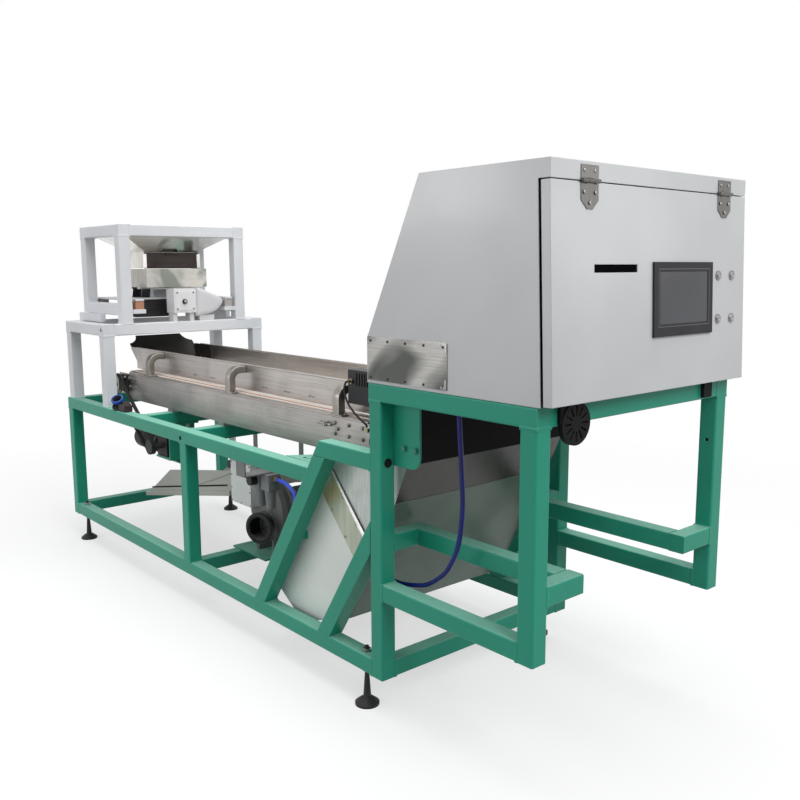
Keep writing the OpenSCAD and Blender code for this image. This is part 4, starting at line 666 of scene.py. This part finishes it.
# The hood's outline is drawn through a few points; its front is drawn in and pushed out like a pillow.
outline = np.array([
    (61.5, 1409), (104, 1400), (146, 1382), (188, 1364), (220, 1348), (229, 1333), (217, 1309), (184, 1279),
    (132, 1261), (84, 1256), (61.5, 1257), (61.5, 1330), (61.5, 1409)], float)
outline = bow(np.insert(outline, 0, 0.0, axis=1), 5)
heart = outline[:-1].mean(0)
rows = [(0.0, -1290), (1.0, -1290), (1.0, -1234), (0.985, -1225), (0.95, -1218.5), (0.88, -1214.8), (0.6, -1214),
        (0.0, -1214)]
hood = np.stack([heart + (outline - heart) * share + (x, 0, 0) for share, x in rows])
upwards = (0, 0, 1)
foot = swept(bar(90, 30, 3), [(-1280, 127, 1243), (-1224, 127, 1243)], upwards)
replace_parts(shell("drive_hood_shell", [hood, foot], hood_plastic, sharp=50.0), "drive_hood")
knob_at, knob_axis = (-1210, -14, 1335), (1, 0, 0)
grip = [(0, 3.6), (14, 3.6), (14, 6), (12.9, 7), (12.3, 16.6), (11.4, 18.2), (9.6, 18.5), (0, 18.5)]
knob = [turned(grip, knob_at, knob_axis, 96, 24, 0.07),
        turned([(0, -20), (4, -20), (4, 4), (0, 4)], knob_at, knob_axis)]
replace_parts(shell("speed_knob_fluted", knob, black_plastic, "speed_knob"), "control_knob")
cap = [turned([(0, 18.3), (9.2, 18.3), (9.2, 19.2), (8.4, 19.8), (0, 20)], knob_at, knob_axis),
       swept(bar(2.2, 1.6, 0.5), [(-1190.4, -14, 1337), (-1190.4, -14, 1343.5)], (1, 0, 0))]
shell("speed_knob_cap", cap, zinc, "speed_knob")
# The drive magnet's housing hangs under the feeder's base plate, a black casting with cooling ribs.
ribs = [swept(bar(280, 5, 1.5), [(-1502, -92, z), (-1423, -92, z)], upwards) for z in (1296, 1308, 1320, 1332)]
housing = [swept(bar(268, 58, 8), [(-1500, -92, 1315), (-1425, -92, 1315)], upwards),
           swept(bar(220, 40, 8), [(-1494, -92, 1267), (-1431, -92, 1267)], upwards)]
shell("drive_housing", housing + ribs, black_steel)


# ---------------------------------------------------------------- belt conveyor
# Folded stainless side plates with a slider bed, guards on arched brackets, and an infeed plate. The belt is
# white food-grade polymer with a fine cloth back and a brown line along each edge.
stainless_side = metal("stainless_side", (0.4, 0.375, 0.36, 1), (3.0, 180.0, 180.0), 0.24, 0.4, 0.002)
stainless_guard = metal("stainless_guard", (0.46, 0.43, 0.41, 1), (3.0, 200.0, 200.0), 0.2, 0.35, 0.0012)
dress(stainless_side, "side_plates", "slider_bed")
dress(stainless_guard, "guards")
arch_steel = metal("arch_steel", (0.29, 0.272, 0.245, 1), (200.0, 30.0, 30.0), 0.26, 0.4, 0.002)
# Each arched bracket is a bent square bar: a leg on the side plate's flange, a quarter turn, an arm to the guard.
quarter = np.linspace(0, np.pi / 2, 10)
turn_y, turn_z = -230 - 42 * np.cos(quarter), 1017 + 42 * np.sin(quarter)
arch_xs, arches = (-1117, -290, 526), []
for x in arch_xs:
    line = np.concatenate([[(x, -272, 957)], np.stack([turn_y * 0 + x, turn_y, turn_z], 1), [(x, -199, 1059)]])
    arches.append(swept(bar(32, 40, 2.5), line, (1, 0, 0)))
    arches.append(swept(bar(34, 5, 1.5), [(x - 40, -273, 959), (x + 40, -273, 959)], upwards))
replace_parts(shell("arched_brackets", mirrored(arches), arch_steel, sharp=30.0), "guard_brackets")
hems = [swept(bar(7, 8, 3), [(-1440, -196.5, 1079), (840, -196.5, 1079)], upwards)]
shell("guard_hems", mirrored(hems), stainless_guard)
clamps = [swept(bar(2, 20, 0.8), [(x + dx - 10, -193.9, 990), (x + dx + 56, -193.9, 990)], upwards)
          for x in arch_xs for dx in (150, 330, 510) if x + dx < 780]
shell("slot_clamps", mirrored(clamps), arch_steel)
# Hexagon heads on washers hold the tail roller's bearing plate.
hexagon = [(0, -0.3), (11, -0.3), (11, 1.8), (8.6, 2), (8.6, 7), (7.4, 8), (0, 8)]
outward = (0, -1, 0)
tails = [turned(hexagon, (x, -290, z), outward, 6) for x in (-1335, -1300, -1265) for z in (928, 884)]
shell("tail_bolts", mirrored(tails), zinc, sharp=25.0)


def two_sided(name, flank, front, share, wear_and_shade=None, **finish):
    """A folded sheet whose flanks and whose faces across the line of flow differ: the object normal's Y parts them;
    the dark colour of the faces across the flow is painted shade, and share says how far a cloud of dust pales it.
    wear_and_shade is a zone, by its two corners, with a colour of its own: painted shade where the chute uses it."""
    made, tree, shader = new_material(name, **finish)
    coords = put(tree, "TexCoord").outputs
    flat = maths(tree, "ABSOLUTE", put(tree, "SeparateXYZ", {0: coords["Normal"]}).outputs[1])
    flank_mask = maths(tree, "GREATER_THAN", flat, 0.6)
    cloud = noise(tree, coords["Object"], 3.0, 5.0, distortion=0.5)
    drift = ramp(tree, cloud, 0.35, 0.65, high=share)
    pale = vector(tree, "SCALE", front[:3], 1.7)
    dust_and_painted_light = mix(tree, drift, front, pale)
    tone = mix(tree, flank_mask, dust_and_painted_light, flank)
    if wear_and_shade:
        tone = mix(tree, in_zone(tree, *wear_and_shade[:2]), tone, wear_and_shade[2])
    soft = use_group(tree, edges, Radius=0.002)
    coat = use_group(tree, film, Colour=tone, Edge_colour=colour_of(190, 192, 190), Edge=soft["Edge"],
                     Peel_scale=300.0, Dust=0.1, Gloss=0.24)
    lay(tree, shader, coat, 0.08, 0.0008, soft)
    return made


# Its faces across the flow are near black: painted shade where the stand shades the plate.
infeed_steel = two_sided("infeed_steel", (0.3, 0.285, 0.265, 1), (0.05, 0.046, 0.042, 1), 0.35, Metallic=1.0)
dress(infeed_steel, "infeed_chute")

belt_white, tree, shader = new_material("belt_white", IOR=1.48)
coords = put(tree, "TexCoord").outputs["Object"]
cloud = noise(tree, coords, 5.0, 6.0)
cloth = put(tree, "TexChecker", {"Vector": coords, "Scale": 700.0}).outputs["Fac"]
out = maths(tree, "ABSOLUTE", put(tree, "SeparateXYZ", {0: coords}).outputs[1])
tone = mix(tree, cloud, colour_of(205, 198, 186), colour_of(232, 228, 220))
stripe = maths(tree, "MULTIPLY", maths(tree, "GREATER_THAN", out, 0.222), maths(tree, "LESS_THAN", out, 0.236))
tone = mix(tree, stripe, tone, colour_of(164, 88, 62))
matt = ramp(tree, cloud, low=0.35, high=0.6)
join(tree, shader, tone, matt, cloth, 0.05, 0.0004)
dress(belt_white, "belt")


# ---------------------------------------------------------------- rollers, bearings and drive
# Turned steel rollers in black cast flange bearings; a dark gear motor on its shelf drives the tail roller
# through a black toothed belt.
turned_steel = metal("turned_steel", (0.28, 0.275, 0.265, 1), (240.0, 2.0, 240.0), 0.25, 0.3, 0.001)
dress(turned_steel, "drive_roller", "nose_roller")
cast_black = blackened("cast_black", (0.03, 0.03, 0.032), 0.55, 0.003, 60.0)
dress(cast_black, "roller_bearings", "motor_pulley")
dress(black_rubber, "drive_belt")
motor_black = blackened("motor_black", (0.026, 0.023, 0.02), 0.5, 0.003)
dress(motor_black, "gear_motor")


# ---------------------------------------------------------------- cabinet
# Folded sheet steel in a light grey enamel with a strong gloss; stainless covers are screwed over the
# openings at the rear of both sides. The racks and the camera case inside are black.
grey_enamel = paint("grey_enamel", colour_of(189, 191, 193), colour_of(214, 215, 217), 0.26, 0.05, 0.004, 420.0,
                    0.012, sheen=0.5, coat=0.2)
dress(grey_enamel, "cabinet_shell", "cabinet_floor", "front_door")
# The covers' dark and pale patches are painted reflections of the room.
cover_steel = with_painted_reflections("cover_steel", (0.1, 0.105, 0.098, 1), (0.37, 0.365, 0.35, 1), 3.4, (4.0, 160.0, 160.0), 0.16,
                      (0.127, 0.0, 0.02))
dress(cover_steel, "side_covers")
screw_black = blackened("screw_black", (0.03, 0.03, 0.03), 0.35, 0.0006)
dress(black_plastic, "cabinet_gear")


def pan_head(centre, axis, radius, height):
    """A pan-head screw: a low dome with a round recess."""
    sunk = -0.3
    return turned([(0, sunk), (radius, sunk), (radius, 0.4 * height), (0.8 * radius, 0.85 * height),
                   (0.56 * radius, height), (0.42 * radius, height), (0.34 * radius, 0.5 * height),
                   (0, 0.45 * height)], centre, axis, 16)


black_heads = mirrored([pan_head((990 + 84 * i, -487, z), outward, 4.4, 2.6) for i in range(5) for z in (1164, 1282)])
black_heads += [pan_head((-1207, -8 + y, 1339 + z), (1, 0, 0), 4.4, 2.8) for y in (-47.5, 47.5) for z in (-44, 44)]
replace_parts(shell("screw_heads", black_heads, screw_black), "screws")
clips = [swept(bar(9, 2, 0.6), [(1318, -488, z), (1338, -488, z), (1338, -488, z - s * 24)], (0, 1, 0))
         for z, s in ((1288, 1), (1162, -1))]
shell("cover_clips", mirrored(clips), zinc)
seam_x, seam_z, tilt = 1712, 1735, math.radians(2.25)


def on_door(points):
    """Points of the door's own leaning frame, X out of its face and Z up from the seam, in the part's frame."""
    x, y, z = np.moveaxis(np.array(points, float), -1, 0)
    sine, cosine = math.sin(tilt), math.cos(tilt)
    return np.stack([seam_x + x * cosine - z * sine, y, seam_z + x * sine + z * cosine], -1)


door_normal = on_door((1, 0, 0)) - on_door((0, 0, 0))
seal = on_door([(-35.2, -468, -18), (-35.2, 468, -18), (-35.2, 468, -566), (-35.2, -468, -566)])
shell("door_seal", [swept(bar(9, 8.6, 3), seal, door_normal, True)], black_rubber)


# ---------------------------------------------------------------- operator panel
# Touch panel in a black satin bezel with a dark glass, a narrow glass strip above, and four sprung buttons in
# chromed rings; two screwed steel hinges carry the door.
bezel_black = blackened("bezel_black", (0.024, 0.024, 0.028), 0.4, 0.002, 120.0, 0.1)
dress(bezel_black, "screen_bezel")
dark_glass, tree, shader = new_material("dark_glass", Coat_Roughness=0.03)
coords = put(tree, "TexCoord").outputs["Object"]
sheen = noise(tree, coords, 3.0, 2.0)
smear = noise(tree, coords, 45.0, 5.0)
tone = mix(tree, sheen, colour_of(42, 43, 48), colour_of(64, 66, 72))
slot = in_zone(tree, (1.5, -0.4, 1.3), (1.8, -0.05, 1.7))
tone = mix(tree, slot, tone, (0.004, 0.004, 0.005, 1))
matt = ramp(tree, smear, low=0.05, high=0.2)
open_glass = maths(tree, "SUBTRACT", 1.0, slot)
join(tree, shader, tone, matt, Specular_IOR_Level=maths(tree, "MULTIPLY", open_glass, 0.4),
     Coat_Weight=maths(tree, "MULTIPLY", open_glass, 0.15))
dress(dark_glass, "door_glass")
chrome = metal("button_chrome", (0.34, 0.325, 0.33, 1), (90.0, 90.0, 90.0), 0.1, 0.15, 0.0008)
dress(chrome, "button_rings")
button_places = [(y, z) for z in (251, 386) for y in (326, 407)]
push_cap = [(0, -13), (10.5, -13), (10.5, 5.4), (9.7, 6.7), (8.4, 7), (7.2, 6.5), (5.5, 5.5), (0, 4.9)]
for number, (y, z) in enumerate(button_places, 1):
    button = [turned(push_cap, on_door((0, y, -z)), door_normal, 32)]
    button = shell("button_cap_%d" % number, button, chrome, "button_%d" % number)
    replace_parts(button, "push_button_%d" % number)
border_grey = moulded("border_grey", colour_of(96, 96, 102), 0.4, 0.0005)
edge = on_door([(7.2, 125 + y, -314.5 + z) for y, z in ((-137, -84), (137, -84), (137, 84), (-137, 84))])
shell("screen_border", [swept(bar(2.2, 1.2, 0.4), edge, door_normal, True)], border_grey, "door")
hinge_ys = (-327, 354)
header_heads = [pan_head((1714.5, y + dy, 1761), (1, 0, 0), 5.4, 2.8) for y in hinge_ys for dy in (-22, 22)]
shell("header_screws", header_heads, zinc)
hinge_steel = metal("hinge_steel", (0.15, 0.147, 0.138, 1), (160.0, 160.0, 4.0), 0.18, 0.2, 0.0012)
dress(hinge_steel, "hinge_fixed", "hinge_moving")
leaf_heads = [pan_head(on_door((4.4, y + dy, z)), door_normal, 5.6, 2.4)
              for y in hinge_ys for dy, z in ((-24, -30), (24, -30), (0, -57))]
shell("leaf_screws", leaf_heads, zinc, "door")


# ---------------------------------------------------------------- chute, lamp box and ejector
# The discharge chute is folded sheet in a pale enamel, its faces across the flow painted dark as shade under the
# cabinet and clouded with dust, with stainless upper sides screwed on; the lamp box over its mouth is black, and
# the air bar under the belt's nose is drawn aluminium.
lamp_black = blackened("lamp_black", (0.004, 0.0035, 0.0035), 0.6, 0.003, sheen=0.06)
# The faces across the flow take a dark green-grey: painted shade under the cabinet, paled by a cloud of dust.
chute_paint = two_sided("chute_paint", colour_of(232, 236, 232), colour_of(104, 120, 110), 0.5,
                        # The zone over the dust tray takes a mid grey: painted shade on the trough, whose upper face
                        # is lit.
                        ((-1.45, -0.3, 0.2), (-0.4, 0.3, 0.8), colour_of(170, 170, 163)), Specular_IOR_Level=0.3)
dress(chute_paint, "chute_body")
panel = np.array((547.0, -395.0, 719.0))
down, over = np.array((0.683, 0, -0.7305)), np.array((0.7305, 0, 0.683))
chute_steel, tree, shader = new_material("chute_steel", Specular_IOR_Level=0.5, Metallic=0.25)
coords = put(tree, "TexCoord").outputs
local = vector(tree, "SUBTRACT", coords["Object"], (panel / 1000).tolist())
run = vector(tree, "DOT_PRODUCT", local, down.tolist())
side = vector(tree, "DOT_PRODUCT", local, over.tolist())
cloud = noise(tree, coords["Object"], 9.0, 3.0, distortion=0.6)
wavy = maths(tree, "ADD", run, maths(tree, "MULTIPLY", cloud, 0.12))
# A yellowish band along the run is a painted glint.
glint = ramp(tree, maths(tree, "ABSOLUTE", maths(tree, "SUBTRACT", wavy, 0.14)), 0.05, 0.01)
tone = mix(tree, cloud, colour_of(172, 180, 158), colour_of(196, 200, 182))
tone = mix(tree, maths(tree, "MULTIPLY", glint, 0.6), tone, colour_of(206, 180, 120))
dim = mix(tree, cloud, colour_of(178, 185, 180), colour_of(222, 227, 224))
tone = mix(tree, maths(tree, "GREATER_THAN", side, 0.1175), tone, dim)
# Faces across the flow, the hood and the edges, are near black: painted shade under the cabinet.
across = maths(tree, "ABSOLUTE", put(tree, "SeparateXYZ", {0: coords["Normal"]}).outputs[1])
tone = mix(tree, maths(tree, "GREATER_THAN", across, 0.6), (0.06, 0.056, 0.052, 1), tone)
skin = use_group(tree, brushed, Colour=tone, Stretch=(90.0, 90.0, 8.0), Gloss=0.2, Stain=0.15)
soft = use_group(tree, edges, Radius=0.0015)
lay(tree, shader, skin, 0.03, 0.0005, soft)
dress(chute_steel, "chute_sides")
chute_heads = [pan_head(panel + down * (20 + 112 * i) + over * n, outward, 5.6, 3.0)
               for i in range(4) for n in (10, 100)]
shell("chute_screws", mirrored(chute_heads), zinc)
flange_top = panel + over * 117.7 + down * 20 + (0, -7.4, 0)
flange = [swept(bar(2, 9, 0.8), [flange_top, flange_top + down * 318], over, grow=(0.5, 2.3))]
bright_steel = metal("bright_steel", (0.85, 0.85, 0.84, 1), (3.0, 180.0, 180.0), 0.3, 0.1, 0.001)
shell("chute_flange", mirrored(flange), bright_steel)
tray_way = np.array([(-1384, -204, 264), (-445, -204, 446)], float)
lips = [swept(bar(9, 24, 2), tray_way, upwards),
        swept(bar(3, 5, 1), tray_way + [(620, -0.5, 168), (-3, -0.5, 96)], upwards)]
shell("dust_tray_lips", mirrored(lips), chute_paint)
# A black strip above the lower lip stands for the slot's shade: a painted shadow line.
painted_shadow_line = [swept(bar(1.4, 8, 0.4), tray_way + [(70, 3.2, 48), (-30, 3.2, 34)], upwards)]
shell("dust_tray_shadow_line", mirrored(painted_shadow_line), lamp_black)
dress(lamp_black, "lamp_box")
aluminium = metal("drawn_aluminium", (0.5, 0.5, 0.51, 1), (200.0, 3.0, 200.0), 0.25, 0.2, 0.001)
dress(aluminium, "ejector_bar")


# ---------------------------------------------------------------- blower and air regulator
# Side-channel blower, cast and painted grey, with a black port and a pale terminal box; the regulator beside
# it has two bowls under a bracket, all in a cast grey paint.
blower_paint, tree, shader = new_material("blower_paint", Specular_IOR_Level=0.2)
port = in_zone(tree, (-0.23, -0.29, 0.27), (-0.05, -0.19, 0.425))
case = in_zone(tree, (-0.405, -0.222, 0.421), (-0.226, -0.1815, 0.623))
soft = use_group(tree, edges, Radius=0.003)
tone = mix(tree, port, colour_of(112, 113, 112), (0.006, 0.006, 0.006, 1))
tone = mix(tree, case, tone, colour_of(238, 240, 239))
coat = use_group(tree, film, Colour=tone, Edge_colour=(0.5, 0.5, 0.5, 1), Edge=soft["Edge"], Peel_scale=240.0,
                 Dust=0.4, Gloss=0.38)
lay(tree, shader, coat, 0.25, 0.001, soft)
dress(blower_paint, "blower")
screw_rows = [(x, z) for x in (-395, -236) for z in (431, 492, 552, 613)] + [(-315, 431), (-315, 613)]
case_heads = [pan_head((x, -220, z), outward, 4.2, 2.6) for x, z in screw_rows]
shell("case_screws", case_heads, zinc)
mouth, mouth_axis = (-131, -240, 351), (0.391, -0.921, 0)
lip = [(53, 1), (56, 5), (67, 5), (72, 1), (72, -10), (69, -13), (60, -13), (53, 1)]
shell("port_lip", [turned(lip, mouth, mouth_axis, 48)], black_rubber)
wheel = [(0, 0), (8, 0), (8, 14), (18, 15), (19, 18), (19, 30), (17, 32), (0, 32)]
dial = [turned(wheel, (-420, -190, 596), outward, 32),
        turned([(0, 0), (5, 0), (5, 30), (0, 30)], (-420, -198, 596), (1, 0, 0))]
shell("blower_dial", dial, black_plastic)
cast_grey = paint("cast_grey", colour_of(122, 124, 126), colour_of(165, 166, 168), 0.4, 0.35, 0.003, 240.0, 0.25)
dress(cast_grey, "air_regulator")
dress(black_plastic, "regulator_knob")
brass = metal("brass_fittings", (0.34, 0.3, 0.22, 1), (120.0, 120.0, 120.0), 0.22, 0.3, 0.0008)
dress(brass, "cord_fittings")


# ---------------------------------------------------------------- sensor and power inlet
# The sensor on the near guard is a black moulding. The inlet on the rail is a black cup with a blue collar and
# a hanging lid, beside a brown moulded block.
dress(black_plastic, "belt_sensor")
inlet_blue = moulded("inlet_blue", colour_of(20, 74, 170), 0.4, 0.001)
inlet_brown = blackened("inlet_brown", (0.03, 0.018, 0.02), 0.5, 0.002)
cup_axis, cup_at = np.array((0.36, -0.46, 0.81)), np.array((-1106.0, -450.0, 826.0))
cup_wall = [(0, 0), (22, 0), (25, 4), (26.5, 40), (24, 41), (22, 38), (20.5, 14), (0, 12)]
cup = shell("inlet_cup", [turned(cup_wall, cup_at, cup_axis, 40)], black_plastic)
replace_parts(cup, "power_inlet")
collar = [(26.2, 27), (30.5, 28), (31, 33), (31, 41), (29, 43.5), (24.5, 43.5), (23.5, 41), (26.2, 27)]
shell("inlet_ring", [turned(collar, cup_at, cup_axis, 40)], inlet_blue)
lid = [(0, -6), (18, -6), (21, -3), (21, 8), (19, 9), (17, 6), (0, 3)]
lid_at, lid_axis = (-1092, -473, 816), (0.75, -0.3, 0.55)
shell("inlet_lid", [turned(lid, lid_at, lid_axis, 40)], black_plastic)
brown_block = [
    swept(bar(44, 34, 8), [(-1064, -455, 818), (-990, -455, 818)], upwards),
    turned([(0, 0), (19, 0), (21, 6), (21, 30), (16, 36), (0, 37)], (-1030, -455, 818), (0.8, 0.1, 0.6), 28)]
shell("inlet_block", brown_block, inlet_brown)
